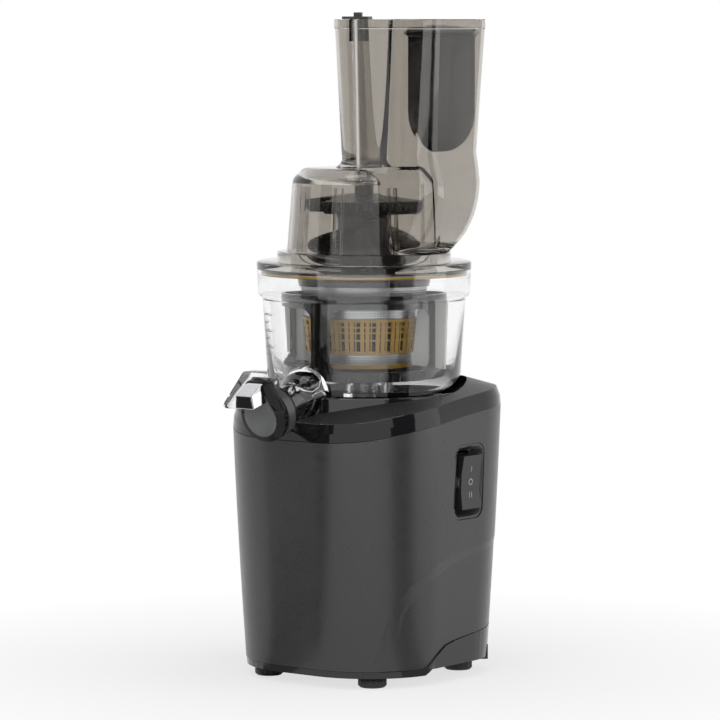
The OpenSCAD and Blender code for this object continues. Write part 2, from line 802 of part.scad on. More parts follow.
fan_blades = 9;
fan_r = 30;
fan_hub_r = 8;
fan_blade_t = 1.6;
module cooling_fan() {
    color([0.12, 0.12, 0.13])
    at_motor() translate([0, 0, fan_z])
    difference() {
        union() {
            cylinder(r = fan_hub_r, h = fan_h);
            translate([0, 0, fan_h - fan_blade_t]) cylinder(r = fan_r, h = fan_blade_t);
            for (i = [0:fan_blades - 1]) rotate([0, 0, i * 360 / fan_blades])
                translate([fan_hub_r - over, -fan_blade_t / 2, 0])
                    cube([fan_r - fan_hub_r, fan_blade_t, fan_h]);
        }
        translate([0, 0, -over]) cylinder(r = shaft_r, h = fan_h + 2 * over);
    }
}

gear_screw_r = 1.5;
gear_ear_r = 4;
gear_screw_l = 14;
module at_gear_screws() {
    for (a = [-150, -90, -30, 30])
        rotate([0, 0, a])
            translate([output_case_r + gearbox_wall + gear_screw_r + 2 * gap, 0, 0]) children();
}
module case_outline(grow, h) {
    cylinder(r = output_case_r + grow, h = h);
    at_middle() cylinder(r = middle_case_r + grow, h = h);
}
module gearbox_housing() {
    color([0.16, 0.16, 0.17])
    translate([0, 0, gearbox_floor_z])
    difference() {
        union() {
            difference() {
                case_outline(gearbox_wall, cover_z - gearbox_floor_z);
                translate([0, 0, gearbox_floor]) case_outline(0, cover_z);
            }
            cylinder(r = output_boss_r, h = gearbox_floor + bearing_w);
            at_gear_screws() cylinder(r = gear_ear_r, h = cover_z - gearbox_floor_z);
        }
        at_gear_screws() translate([0, 0, cover_z - gearbox_floor_z - gear_screw_l])
            cylinder(r = gear_screw_r, h = gear_screw_l + over);
        translate([0, 0, gearbox_floor]) cylinder(r = output_boss_r - boss_wall, h = cover_z);
        at_motor() translate([0, 0, -over]) cylinder(r = pinion_clear_r, h = gearbox_floor + 2 * over);
        at_middle() translate([0, 0, -over])
            cylinder(r = middle_r + bush_wall, h = gearbox_floor + 2 * over);
    }
}

cover_boss_more = 4;
module gearbox_cover() {
    boss_h = bearing_w + cover_boss_more;
    color([0.16, 0.16, 0.17])
    translate([0, 0, cover_z])
    difference() {
        union() {
            case_outline(gearbox_wall, cover_t);
            at_gear_screws() cylinder(r = gear_ear_r, h = cover_t);
            cylinder(r = output_boss_r, h = cover_t + boss_h);
        }
        translate([0, 0, -over]) cylinder(r = output_r + shaft_slot, h = cover_t + boss_h + 2 * over);
        translate([0, 0, cover_t + boss_h - bearing_w])
            cylinder(r = output_boss_r - boss_wall, h = bearing_w + over);
        at_middle() translate([0, 0, -over]) cylinder(r = middle_r + bush_wall, h = cover_t + 2 * over);
        at_gear_screws() translate([0, 0, -over]) cylinder(r = gear_screw_r, h = cover_t + 2 * over);
    }
}

bush_more = 1;
module gear_bushes() {
    color([0.7, 0.55, 0.3])
    at_middle() {
        translate([0, 0, gearbox_floor_z])
            ring(middle_r + bush_wall, middle_r + run_gap, gearbox_floor + bush_more);
        translate([0, 0, cover_z - bush_more])
            ring(middle_r + bush_wall, middle_r + run_gap, cover_t + bush_more);
    }
}

module first_gear() {
    color([0.85, 0.83, 0.75])
    at_middle() translate([0, 0, first_gear_z])
        gear(first_module, first_teeth, first_gear_w, middle_r, motor_turn);
}

module second_pinion() {
    turn = intermediate_turn + 180 + 180 / pinion_teeth;
    color([0.7, 0.7, 0.72])
    at_middle() {
        translate([0, 0, output_gear_z - 2 * pinion_more]) rotate([0, 0, turn])
            linear_extrude(height = output_gear_w + 4 * pinion_more)
                polygon(gear_outline(second_module, pinion_teeth));
        translate([0, 0, gearbox_floor_z + gap])
            cylinder(r = middle_r, h = cover_z + cover_t - gearbox_floor_z - 2 * gap);
    }
}

module output_gear() {
    color([0.72, 0.7, 0.66])
    translate([0, 0, output_gear_z])
        gear(second_module, output_teeth, output_gear_w, output_r, intermediate_turn);
}

module output_bearings() {
    color([0.8, 0.8, 0.82]) {
        translate([0, 0, gearbox_floor_z + gearbox_floor])
            ring(output_boss_r - boss_wall, output_r + run_gap, bearing_w);
        translate([0, 0, cover_z + cover_t + cover_boss_more])
            ring(output_boss_r - boss_wall, output_r + run_gap, bearing_w);
    }
}

seal_r = 12;
seal_h = 8;
shaft_neck_r = 9;
shaft_neck_h = 14;
shaft_neck_z = seat_z - shaft_neck_h;
deck_hub_z = plinth_top - seal_h - plinth_wall;
hex_h = 22;
hex_top_z = seat_z + hex_h;
hex_r = hex_flats / 2 / cos(30);
module drive_shaft() {
    color([0.78, 0.79, 0.8]) {
        translate([0, 0, gearbox_floor_z + gearbox_floor + gap])
            cylinder(r = output_r, h = shaft_neck_z - gearbox_floor_z - gearbox_floor - gap);
        translate([0, 0, shaft_neck_z]) cylinder(r = shaft_neck_r, h = seat_z - shaft_neck_z);
        translate([0, 0, seat_z]) cylinder(r = hex_r, h = hex_top_z - seat_z, $fn = 6);
    }
}

module shaft_seal() {
    color([0.1, 0.1, 0.1])
    translate([0, 0, plinth_top - seal_h]) ring(seal_r, shaft_neck_r + run_gap, seal_h);
}

// Control board on posts of the tray
board_w = 70;
board_d = 32;
board_t = 1.6;
board_lift = 5;
board_y = -48;
module at_board() { translate([0, board_y, foot_h + tray_floor + board_lift]) children(); }
module control_board() {
    part_size = 12;
    color([0.1, 0.35, 0.2])
    at_board() {
        translate([-board_w / 2, -board_d / 2, 0]) cube([board_w, board_d, board_t]);
        translate([-board_w / 3, 0, board_t]) cylinder(r = part_size / 2, h = part_size);
        translate([0, -part_size / 2, board_t]) cube([part_size, part_size, part_size]);
        translate([board_w / 4, -part_size / 2, board_t]) cube([part_size / 2, part_size, part_size * 1.5]);
    }
}

sensor_size = [16, 10, 7];
sensor_x = -46;
module safety_sensor() {
    color([0.15, 0.15, 0.16])
    translate([sensor_x, 0, plinth_top - plinth_wall - sensor_size[2]])
        translate([-sensor_size[0] / 2, -sensor_size[1] / 2, 0]) cube(sensor_size);
}

screw_head_r = 3;
screw_head_h = 2;
module housing_screws() {
    color([0.7, 0.7, 0.7])
    at_bosses() translate([0, 0, gap]) {
        cylinder(r = screw_head_r, h = screw_head_h - gap);
        translate([0, 0, screw_head_h - gap]) cylinder(r = boss_bore_r, h = boss_screw_l);
    }
}
module chassis_screws() {
    head_z = chassis_z + chassis_t - screw_head_h - gap;
    color([0.7, 0.7, 0.7])
    at_corners(post_x, post_y) {
        translate([0, 0, post_top_z - post_bore_h])
            cylinder(r = post_bore_r, h = head_z - post_top_z + post_bore_h);
        translate([0, 0, head_z]) cylinder(r = screw_head_r, h = screw_head_h);
    }
}
module gearbox_screws() {
    color([0.7, 0.7, 0.7])
    at_gear_screws() translate([0, 0, cover_z]) {
        translate([0, 0, -gear_screw_l]) cylinder(r = gear_screw_r, h = cover_t + gear_screw_l);
        translate([0, 0, cover_t]) cylinder(r = screw_head_r, h = screw_head_h);
    }
}

// Bowl
bowl_floor = 3;
rim_z = seat_z + bowl_h;
collar_z = rim_z - collar_h;
hub_play = 1.6;
hub_r = shaft_neck_r + hub_play;
hub_wall = 3;
hub_h = 8;
rest_rib = 3.4;
rest_drop = 3.8;
rest_t = 2;
rest_z = rim_z - rest_drop;
spout_end = 1.5;
module at_spout() {
    translate([0, -spout_reach, spout_z]) rotate([90 + spout_tilt, 0, 0]) children();
}
pulp_roof = 9.2;
pulp_wall = 2;
pulp_mouth_x = 91.5;
pulp_mouth_z = 20;
pulp_shoulder = 19;
pulp_inner_x = 38;
module pulp_shape(inset, low) {
    top = pulp_roof - inset;
    polygon([
        [-pulp_inner_x - inset, low], [-pulp_mouth_x - inset, low],
        [-pulp_mouth_x - inset, -pulp_mouth_z - inset], [-pulp_reach + inset, -pulp_mouth_z - inset],
        [-pulp_reach + inset, -pulp_mouth_z + pulp_wall * 2], [-pulp_reach + pulp_shoulder + inset / 2, top],
        [-pulp_inner_x + 2 * inset, top]
    ]);
}
module pulp_block(w, inset, low) {
    translate([0, w / 2, seat_z]) rotate([90, 0, 0]) linear_extrude(height = w) pulp_shape(inset, low);
}

// Side of the bowl: straight wall, then a curve outwards into the collar
bowl_edge_in = 1;
bowl_edge_h = 4;
collar_under = 4;
collar_curve_h = 5;
collar_rise_shares = [0, 0.2, 0.6, 1];
collar_out_shares = [0, 0.15, 0.65, 0.9];
function collar_curve(inset) = [for (i = [0:len(collar_rise_shares) - 1]) [
    mix(bowl_top_r, collar_r, collar_out_shares[i]) - inset,
    collar_z - collar_under + collar_curve_h * collar_rise_shares[i]
]];
// Low arcs on the bowl's floor that the wiper turns on, clear of both outlets
runner_in = 5;
runner_r = wiper_r - runner_in;
runner_w = 3;
runner_angle = 40;
module bowl() {
    floor_z = seat_z + bowl_floor;
    color([0.85, 0.87, 0.88, 0.35])
    difference() {
        union() {
            difference() {
                rotate_extrude() polygon(concat(
                    [[0, seat_z], [bowl_foot_r - bowl_edge_in, seat_z], [bowl_foot_r, seat_z + bowl_edge_h]],
                    collar_curve(0), [[collar_r, rim_z], [0, rim_z]]
                ));
                rotate_extrude() polygon(concat(
                    [[0, floor_z], [bowl_foot_r - bowl_wall, floor_z]], collar_curve(bowl_wall),
                    [[collar_r - bowl_wall, rim_z + over], [0, rim_z + over]]
                ));
            }
            translate([0, 0, rest_z - rest_t])
                ring(collar_r - bowl_wall / 2, collar_r - bowl_wall - rest_rib, rest_t);
            translate([0, 0, seat_z]) cylinder(r = hub_r + hub_wall, h = hub_h);
            for (a = [20, 140, 220, 304]) rotate([0, 0, a - runner_angle / 2])
                rotate_extrude(angle = runner_angle) translate([runner_r, floor_z - bowl_floor / 2])
                    square([runner_w, wiper_gear_z - gap - floor_z + bowl_floor / 2]);
            pulp_block(pulp_w, 0, 0);
            difference() {
                at_spout() translate([0, 0, -spout_inner])
                    cylinder(r = spout_r, h = spout_inner - spout_end);
                translate([0, 0, floor_z]) cylinder(r = bowl_foot_r - bowl_wall, h = bowl_h);
            }
        }
        translate([0, 0, seat_z - over]) cylinder(r = hub_r, h = bowl_h);
        pulp_block(pulp_w - 2 * pulp_wall, pulp_wall / 2, bowl_floor);
        at_spout() translate([0, 0, -spout_inner + spout_wall])
            cylinder(r = spout_r - spout_wall, h = spout_inner);
    }
}

module bowl_seal() {
    color([0.12, 0.12, 0.12])
    translate([0, 0, seat_z + hub_h]) ring(hub_r + hub_wall, hub_r, wiper_gear_z - gap - seat_z - hub_h);
}

// Strainer: steel wall, with an amber frame around it
strainer_z = seat_z + strainer_lift;
mesh_t = 0.8;
frame_t = 1.4;
band_low_share = 0.175;
band_high_share = 0.6;
slot_w = 2.4;
slot_edge = 2;
frame_foot_h = 3;
frame_edge_h = 2;
frame_rib_angle = 6;
function strainer_r(z) = mix(strainer_foot_r, strainer_top_r, (z - strainer_z) / strainer_h);
module cone_shell(z1, z2, inner, outer) {
    rotate_extrude() polygon([
        [strainer_r(z1) + inner, z1], [strainer_r(z1) + outer, z1],
        [strainer_r(z2) + outer, z2], [strainer_r(z2) + inner, z2]
    ]);
}
module strainer_mesh() {
    color([0.75, 0.76, 0.77]) cone_shell(strainer_z, strainer_z + strainer_h, -mesh_t, 0);
}
module frame_windows(low, high) {
    for (i = [0:3]) rotate([0, 0, 90 * i]) rotate_extrude(angle = 90 - frame_rib_angle)
        translate([strainer_foot_r - over, low]) square([strainer_top_r, high - low]);
}
module strainer_frame() {
    band_low = strainer_z + strainer_h * band_low_share;
    band_high = strainer_z + strainer_h * band_high_share;
    top_z = strainer_z + strainer_h;
    color([0.72, 0.52, 0.2])
    difference() {
        rotate_extrude() polygon([
            [strainer_foot_r + run_gap, strainer_z], [strainer_foot_r + frame_t, strainer_z],
            [strainer_top_r + frame_t, top_z], [strainer_top_r + 2 * frame_t, rest_z],
            [collar_r - bowl_wall - slip, rest_z], [collar_r - bowl_wall - slip, rest_z + rest_t],
            [strainer_top_r + frame_t, rest_z + rest_t], [strainer_top_r - mesh_t, rest_z],
            [strainer_top_r - mesh_t, top_z + gap], [strainer_top_r + run_gap, top_z]
        ]);
        frame_windows(strainer_z + frame_foot_h, band_low);
        frame_windows(band_high, top_z - frame_edge_h);
        for (i = [0:slot_count - 1]) rotate([0, 0, (i + 0.5) * 360 / slot_count])
            translate([strainer_foot_r, -slot_w / 2, band_low + slot_edge])
                cube([strainer_top_r, slot_w, band_high - band_low - 2 * slot_edge]);
    }
}

// Wiper: inner ring gear, driven from the auger through an idler
wiper_module = 1.5;
auger_teeth = 20;
idler_teeth = 14;
ring_teeth = auger_teeth + 2 * idler_teeth;
idler_distance = wiper_module * (auger_teeth + idler_teeth) / 2;
idler_turn = 90;
wiper_drop = 7;
wiper_gear_z = strainer_z - wiper_drop;
wiper_gear_w = 6;
idler_pin_r = 3;
wiper_t = 2.2;
window_count = 4;
window_low = 7;
window_edge = 10;
window_r = 8;
window_share = 1.26;
wiper_turn = 6;
wiper_top_drop = 6;
wiper_top_z = strainer_z + strainer_h - wiper_top_drop;
idler_play = 1;
idler_w = wiper_gear_w - idler_play;
module at_idler() { rotate([0, 0, idler_turn]) translate([idler_distance, 0, 0]) children(); }

module idler_gear() {
    color([0.85, 0.83, 0.75])
    at_idler() translate([0, 0, wiper_gear_z]) rotate([0, 0, 180 + 180 / idler_teeth])
        gear(wiper_module, idler_teeth, idler_w, idler_pin_r + run_gap, 0);
}
module idler_pin() {
    color([0.8, 0.8, 0.82])
    at_idler() translate([0, 0, seat_z + bowl_floor]) {
        cylinder(r = 2 * idler_pin_r, h = wiper_gear_z - gap - seat_z - bowl_floor);
        cylinder(r = idler_pin_r, h = wiper_gear_z + idler_w - seat_z - bowl_floor);
    }
}
module wiper_frame() {
    wiper_h = wiper_top_z - wiper_gear_z;
    window_h = wiper_h - window_low - window_edge;
    color([0.6, 0.6, 0.6, 0.4])
    difference() {
        translate([0, 0, wiper_gear_z]) cylinder(r = wiper_r + wiper_t, h = wiper_h);
        translate([0, 0, wiper_gear_z + wiper_gear_w]) cylinder(r = wiper_r, h = wiper_h);
        translate([0, 0, wiper_gear_z - over]) rotate([0, 0, idler_turn + 180 / ring_teeth])
            linear_extrude(height = wiper_h)
                polygon(gear_outline(wiper_module, ring_teeth, dedendum_share, addendum_share, -backlash));
        for (i = [0:window_count - 1]) rotate([0, 0, wiper_turn + (i + 0.5) * 360 / window_count])
            translate([0, 0, wiper_gear_z + window_low + window_h / 2]) rotate([0, 90, 0])
                rounded_box([window_h, wiper_r * window_share], window_r, wiper_r * 2);
    }
}
blade_t = 2.4;
blade_lift = 2;
blade_drop = 3;
blade_spread = 2;
module wiper_blades() {
    low = wiper_gear_z + wiper_gear_w + blade_lift;
    top = wiper_top_z - blade_drop;
    color([0.15, 0.15, 0.15])
    for (i = [0, 1]) rotate([0, 0, wiper_turn + 180 * i])
        rotate([90, 0, 0]) translate([0, 0, -blade_t / 2]) linear_extrude(height = blade_t) {
            polygon([
                [strainer_r(low) + frame_t + gap, low], [wiper_r, low], [wiper_r, top],
                [strainer_r(top) + frame_t + gap, top]
            ]);
            polygon([
                [wiper_r + wiper_t, low], [bowl_foot_r - bowl_wall - gap, low],
                [bowl_foot_r - bowl_wall - gap + blade_spread, top], [wiper_r + wiper_t, top]
            ]);
        }
}

// Auger: tapered core with screw flights, a hexagon socket and a pin that runs in the lid
auger_z = wiper_gear_z + wiper_gear_w;
auger_foot_r = 24;
auger_foot_t = 4;
auger_waist_r = 17;
auger_neck_r = 7;
auger_pin_r = 5;
socket_gap = 0.25;
screw_lift = 5;
screw_drop = 16;
screw_low = strainer_z + screw_lift;
screw_high = seat_z + disc_z - screw_drop;
flight_steps = 40;
disc_h = 13;
lid_z = rim_z + gap;
ring_top_z = lid_z + lid_flange + lid_ring_h;
dome_top_z = ring_top_z + dome_h;
pin_boss_h = 11;
neck_gap = 1;
neck_top_z = dome_top_z - lid_wall - pin_boss_h - neck_gap;
flight_gap = 1.2;
flight_tip_share = 0.3;
flight_foot_share = 0.7;
auger_neck_share = 1.2;
function flight_r(z) =
    min(disc_r, strainer_r(min(z, strainer_z + strainer_h)) - mesh_t) - flight_gap;
module flight(start) {
    loft([for (i = [0:flight_steps])
        let (
            t = i / flight_steps,
            a = start + 360 * flight_turns * t,
            z = mix(screw_low, screw_high, t),
            r = flight_r(z),
            foot = auger_waist_r * flight_foot_share,
            tip = flight_w * flight_tip_share
        )
        [for (p = [[foot, flight_w / 2], [r, tip], [r, -tip], [foot, -flight_w / 2]])
            [p[0] * cos(a), p[0] * sin(a), z + p[1]]]]);
}
module auger() {
    color([0.24, 0.24, 0.25])
    difference() {
        union() {
            translate([0, 0, wiper_gear_z]) linear_extrude(height = wiper_gear_w)
                rotate([0, 0, idler_turn]) polygon(gear_outline(wiper_module, auger_teeth));
            rotate_extrude() polygon([
                [0, auger_z], [auger_foot_r, auger_z], [auger_foot_r, auger_z + auger_foot_t],
                [auger_waist_r, strainer_z + strainer_h],
                [auger_waist_r * auger_neck_share, seat_z + disc_z - disc_h],
                [auger_neck_r, seat_z + disc_z - disc_h], [auger_neck_r, neck_top_z],
                [auger_pin_r - run_gap, neck_top_z], [auger_pin_r - run_gap, neck_top_z + pin_boss_h],
                [0, neck_top_z + pin_boss_h]
            ]);
            for (i = [0:flight_count - 1]) flight(360 * i / flight_count);
        }
        translate([0, 0, wiper_gear_z - over])
            cylinder(r = hex_r + socket_gap, h = hex_top_z - wiper_gear_z + 2 * over, $fn = 6);
    }
}
disc_edge = 3;
disc_slope_h = 4;
notch_r = 16;
module cutting_disc() {
    color([0.13, 0.13, 0.13])
    difference() {
        rotate_extrude() polygon([
            [auger_neck_r, seat_z + disc_z - disc_h], [disc_r - disc_edge, seat_z + disc_z - disc_h],
            [disc_r, seat_z + disc_z - disc_h + disc_edge], [disc_r, seat_z + disc_z - disc_slope_h],
            [2 * auger_neck_r, seat_z + disc_z], [auger_neck_r, seat_z + disc_z]
        ]);
        for (i = [0, 1]) rotate([0, 0, 180 * i + 60]) translate([disc_r, 0, seat_z + disc_z - disc_h - over])
            cylinder(r = notch_r, h = disc_h + 2 * over);
    }
}

// Spout collar, gasket and hinged cap, drawn along the spout's axis
collar_ring_t = 4.5;
collar_ring_h = 7.5;
ear_r = 3.4;
ear_t = 4;
pin_r = 1.6;
knuckle_w = 12;
hinge_depth = 3.5;
module cap_axis(l) {
    translate([-l / 2, cap_hinge_up, -hinge_depth]) rotate([0, 90, 0]) children();
}
module spout_collar() {
    color([0.25, 0.25, 0.26])
    at_spout() difference() {
        union() {
            translate([0, 0, -spout_end - collar_ring_h])
                cylinder(r = spout_r + collar_ring_t, h = collar_ring_h);
            for (i = [-1, 1]) translate([i * (knuckle_w / 2 + gap + ear_t / 2), 0, 0]) {
                cap_axis(ear_t) cylinder(r = ear_r, h = ear_t);
                translate([-ear_t / 2, spout_r, -hinge_depth - ear_r])
                    cube([ear_t, cap_hinge_up - spout_r, 2 * ear_r - gap]);
            }
        }
        translate([0, 0, -spout_end - collar_ring_h - over])
            cylinder(r = spout_r, h = collar_ring_h + 2 * over);
        cap_axis(3 * knuckle_w) cylinder(r = pin_r, h = 3 * knuckle_w);
    }
}
gasket_t = 3;
gasket_in = 1;
module spout_gasket() {
    color([0.08, 0.08, 0.08])
    at_spout() translate([0, 0, -spout_end - collar_ring_h - gasket_t])
        ring(spout_r + collar_ring_t - gasket_in, spout_r, gasket_t - gap);
}
module cap_pin() {
    l = knuckle_w + 2 * gap + 2 * ear_t;
    color([0.8, 0.8, 0.8]) at_spout() cap_axis(l) cylinder(r = pin_r, h = l);
}
cap_z = 0.6;
cap_over_hinge = 3;
cap_top_y = cap_hinge_up + cap_over_hinge;
cap_top_w = 11;
cap_corner = 2;
// Round below, narrowing to a flat top with cut corners
function drop(r, w, y) = concat(
    [for (i = [0:24]) polar(r, 160 + 220 * i / 24)],
    [[w, y - cap_corner], [w - cap_corner, y], [cap_corner - w, y], [-w, y - cap_corner]]);
cap_bevel = 2;
module cap_frame() {
    flat_t = cap_t - cap_bevel;
    in = cap_bevel / 2;
    color([0.06, 0.06, 0.07])
    at_spout() difference() {
        union() {
            translate([0, 0, cap_z]) linear_extrude(height = flat_t)
                polygon(drop(cap_r, cap_top_w, cap_top_y));
            translate([0, 0, cap_z + flat_t]) linear_extrude(height = cap_bevel)
                polygon(drop(cap_r - in, cap_top_w - in, cap_top_y - in));
            cap_axis(knuckle_w) cylinder(r = ear_r, h = knuckle_w);
            translate([-knuckle_w / 2, cap_hinge_up - ear_r, -hinge_depth])
                cube([knuckle_w, 2 * ear_r, hinge_depth + cap_z + over]);
        }
        cap_axis(3 * knuckle_w) cylinder(r = pin_r + run_gap, h = 3 * knuckle_w);
    }
}
face_r = 14.2;
face_t = 1.4;
face_in_w = 4;
face_top_y = cap_top_y - 2 * face_in_w;
module cap_face() {
    color([0.37, 0.38, 0.38])
    at_spout() translate([0, 0, cap_z + cap_t]) linear_extrude(height = face_t)
        polygon(drop(face_r, cap_top_w - face_in_w, face_top_y));
}
lever_w = 17;
lever_out = 15;
lever_low = 10;
lever_edge = 2;
module cap_lever() {
    top = cap_top_y - cap_bevel;
    seat = face_top_y + gap;
    color([0.7, 0.7, 0.72])
    at_spout() translate([lever_w / 2, 0, cap_z + cap_t + face_t]) rotate([0, -90, 0])
    linear_extrude(height = lever_w) polygon([
        [-face_t, top], [-face_t, seat], [0, seat], [0, lever_low],
        [lever_out - lever_edge, lever_low], [lever_out, lever_low + lever_edge / 2],
        [lever_out - lever_edge / 2, 2 * lever_low], [lever_edge, top]
    ]);
}
module cap_seal() {
    color([0.85, 0.85, 0.83, 0.8])
    at_spout() translate([0, 0, -spout_end + gap])
        cylinder(r = spout_r - 2 * gap, h = cap_z + spout_end - gap);
}

// Lid: flange, ring and dome; the feed tower stands on the dome's right side
flange_z = lid_z + lid_flange;
shoulder_h = 10;
shoulder_in = 10;
shoulder_wall_share = 0.7;
lid_edge = 1;
module dome_solid(inset, grow) {
    rotate_extrude() polygon([
        [0, flange_z - over], [dome_foot_r - inset, flange_z - over],
        [dome_foot_r - inset, ring_top_z], [dome_top_r - inset, dome_top_z - shoulder_h],
        [dome_top_r - inset - shoulder_in, dome_top_z - inset + grow], [0, dome_top_z - inset + grow]
    ]);
}
seal_in = 6;
module lid_seal() {
    color([0.15, 0.15, 0.15])
    translate([0, 0, rest_z + rest_t + gap]) ring(
        collar_r - bowl_wall - slip, collar_r - bowl_wall - slip - seal_in, lid_z - rest_z - rest_t - gap);
}
module lid_dome() {
    color([0.35, 0.33, 0.31, 0.5])
    difference() {
        union() {
            difference() {
                rotate_extrude() polygon([
                    [dome_foot_r - lid_wall, lid_z], [lid_r, lid_z], [lid_r, flange_z - lid_edge],
                    [lid_r - lid_edge, flange_z], [lid_ring_r, flange_z],
                    [lid_ring_r, ring_top_z - lid_edge],
                    [lid_ring_r - lid_edge, ring_top_z], [dome_foot_r, ring_top_z],
                    [dome_top_r, dome_top_z - shoulder_h], [dome_top_r - shoulder_in, dome_top_z],
                    [0, dome_top_z], [0, dome_top_z - lid_wall],
                    [dome_top_r - shoulder_in - lid_wall * shoulder_wall_share, dome_top_z - lid_wall],
                    [dome_top_r - lid_wall, dome_top_z - shoulder_h - lid_wall / 2],
                    [dome_foot_r - lid_wall, ring_top_z]
                ]);
                tower_inside();
            }
            translate([0, 0, dome_top_z - lid_wall - pin_boss_h])
                cylinder(r = auger_pin_r + lid_wall, h = pin_boss_h + lid_wall);
        }
        translate([0, 0, dome_top_z - lid_wall - pin_boss_h - over])
            cylinder(r = auger_pin_r, h = pin_boss_h + over);
    }
}

// Tower: height and reach of its sections, as shares of the dome's height and the mouth's reach
chute_height_shares = [0, 0.09, 0.18, 0.27, 0.37, 0.46, 0.56, 0.66, 0.76, 0.86, 1.04, 1.2];
chute_reach_shares = [0.743, 0.808, 0.86, 0.902, 0.932, 0.953, 0.972, 0.984, 0.99, 0.989, 0.963, 0.94];
chute_depth_shares = [0.8, 0.83, 0.86, 0.885, 0.905, 0.92, 0.93, 0.94, 0.945, 0.95, 0.955, 0.955];
chute_corner_shares = [2, 1.95, 1.9, 1.8, 1.7, 1.6, 1.55, 1.5, 1.45, 1.4, 1.25, 1.2];
mouth_z = dome_top_z + tower_h;
rim_band = 7;
rim_out = 0.4;
function tower_ring(z, reach, depth, corner, inset) = [for (p = plan(
    tower_left + inset, tower_right * reach - inset, -tower_half * depth + inset, tower_half * depth - inset,
    tower_corner * corner - inset, tower_corner * corner - inset, round_steps, 3)) [p[0], p[1], z]];
function chute_rings(inset, lift) = [for (i = [0:len(chute_height_shares) - 1]) tower_ring(
    ring_top_z + dome_h * chute_height_shares[i] + (i == 0 ? lift : 0),
    chute_reach_shares[i], chute_depth_shares[i], chute_corner_shares[i], inset)];
module tower_outside() {
    loft(concat(chute_rings(0, 0), [
        tower_ring(mouth_z - rim_band, 1, 1, 1, 0),
        tower_ring(mouth_z - rim_band + rim_out, 1, 1, 1, -rim_out),
        tower_ring(mouth_z, 1, 1, 1, -rim_out)
    ]));
}
module tower_inside() {
    loft(concat(chute_rings(lid_wall, lid_wall), [tower_ring(mouth_z + over, 1, 1, 1, lid_wall)]));
}
// Flared foot with which the slim tube stands on the dome
foot_flare = 5;
foot_flare_h = 6;
foot_flare_shares = [1, 0.5, 0.18, 0];
module slim_foot() {
    last = len(foot_flare_shares) - 1;
    translate([0, 0, dome_top_z]) rotate_extrude() polygon(concat(
        [[0, 0]],
        [for (i = [0:last]) [slim_foot_r + foot_flare * foot_flare_shares[i], foot_flare_h * i / last]],
        [[0, foot_flare_h]]
    ));
}
gate_y = 27;
gate_drop = 10;
gate_z = mouth_z - gate_drop;
gate_pin_r = 1.6;
gate_barrel_r = 3.2;
lug_t = 3;
lug_in = 4;
lug_left = tower_left + lid_wall + lug_in;
lug_right = tower_right - lid_wall - lug_in;
module feed_tower() {
    color([0.35, 0.33, 0.31, 0.5])
    difference() {
        union() {
            difference() {
                union() {
                    tower_outside();
                    translate([0, 0, dome_top_z]) cylinder(r1 = slim_foot_r, r2 = slim_r, h = tower_h);
                    slim_foot();
                    translate([0, 0, mouth_z - rim_band]) cylinder(r = slim_r + rim_out, h = rim_band);
                }
                tower_inside();
                translate([0, 0, dome_top_z - over])
                    cylinder(r1 = slim_foot_r - lid_wall, r2 = slim_r - lid_wall, h = tower_h + 2 * over);
                dome_solid(0, 0);
            }
            for (x = [lug_left, lug_right - lug_t])
                translate([x, gate_y - gate_barrel_r, gate_z - gate_barrel_r])
                    cube([lug_t, tower_half - lid_wall / 2 - gate_y + gate_barrel_r, 2 * gate_barrel_r]);
        }
        translate([lug_left - over, gate_y, gate_z]) rotate([0, 90, 0])
            cylinder(r = gate_pin_r, h = lug_right - lug_left + 2 * over);
    }
}
module gate_pin() {
    color([0.75, 0.75, 0.76])
    translate([lug_left, gate_y, gate_z]) rotate([0, 90, 0])
        cylinder(r = gate_pin_r, h = lug_right - lug_left);
}
gate_t = 2;
gate_lift = 12;
gate_low = dome_top_z + gate_lift;
module feed_gate() {
    left = lug_left + lug_t + gap;
    w = lug_right - lug_left - 2 * (lug_t + gap);
    half = w / 2;
    color([0.3, 0.29, 0.28, 0.6])
    difference() {
        union() {
            translate([left, gate_y, gate_z]) rotate([0, 90, 0]) cylinder(r = gate_barrel_r, h = w);
            translate([left + half, gate_y + gate_t / 2, gate_low + half]) rotate([90, 0, 0])
            linear_extrude(height = gate_t) union() {
                circle(r = half);
                translate([-half, 0]) square([w, gate_z - gate_low - half]);
            }
        }
        translate([left - over, gate_y, gate_z]) rotate([0, 90, 0])
            cylinder(r = gate_pin_r + run_gap, h = w + 2 * over);
    }
}

// Gate latch on the slim tube's front wall
latch_turn = -70;
latch_w = 11;
latch_d = 5.5;
latch_drop = 16;
latch_bar_w = 20;
latch_bar_h = 2;
latch_button_w = 6;
latch_button_d = 3;
latch_button_up = 3;
latch_wall_r = mix(slim_r, slim_foot_r, latch_drop / tower_h) - lid_wall - gap;
latch_from = sqrt(pow(latch_wall_r, 2) - pow(latch_w / 2, 2)) - latch_d;
module at_latch() { rotate([0, 0, latch_turn]) translate([latch_from, 0, mouth_z]) children(); }
module latch_bracket() {
    color([0.06, 0.06, 0.07])
    at_latch() difference() {
        union() {
            translate([0, -latch_w / 2, -latch_drop]) cube([latch_d, latch_w, latch_drop]);
            translate([0, -latch_bar_w / 2, 0])
                cube([slim_r + rim_out - latch_from, latch_bar_w, latch_bar_h]);
        }
        translate([latch_d / 2, 0, -latch_drop + latch_bar_h]) linear_extrude(height = latch_drop + over)
            square([latch_button_d + 2 * gap, latch_button_w + 2 * gap], center = true);
    }
}
latch_travel = 3;
module latch_button() {
    color([0.1, 0.1, 0.1])
    at_latch() translate([
        (latch_d - latch_button_d) / 2, -latch_button_w / 2, -latch_drop + latch_bar_h + latch_travel
    ]) cube([latch_button_d, latch_button_w, latch_drop - latch_travel + latch_button_up]);
}

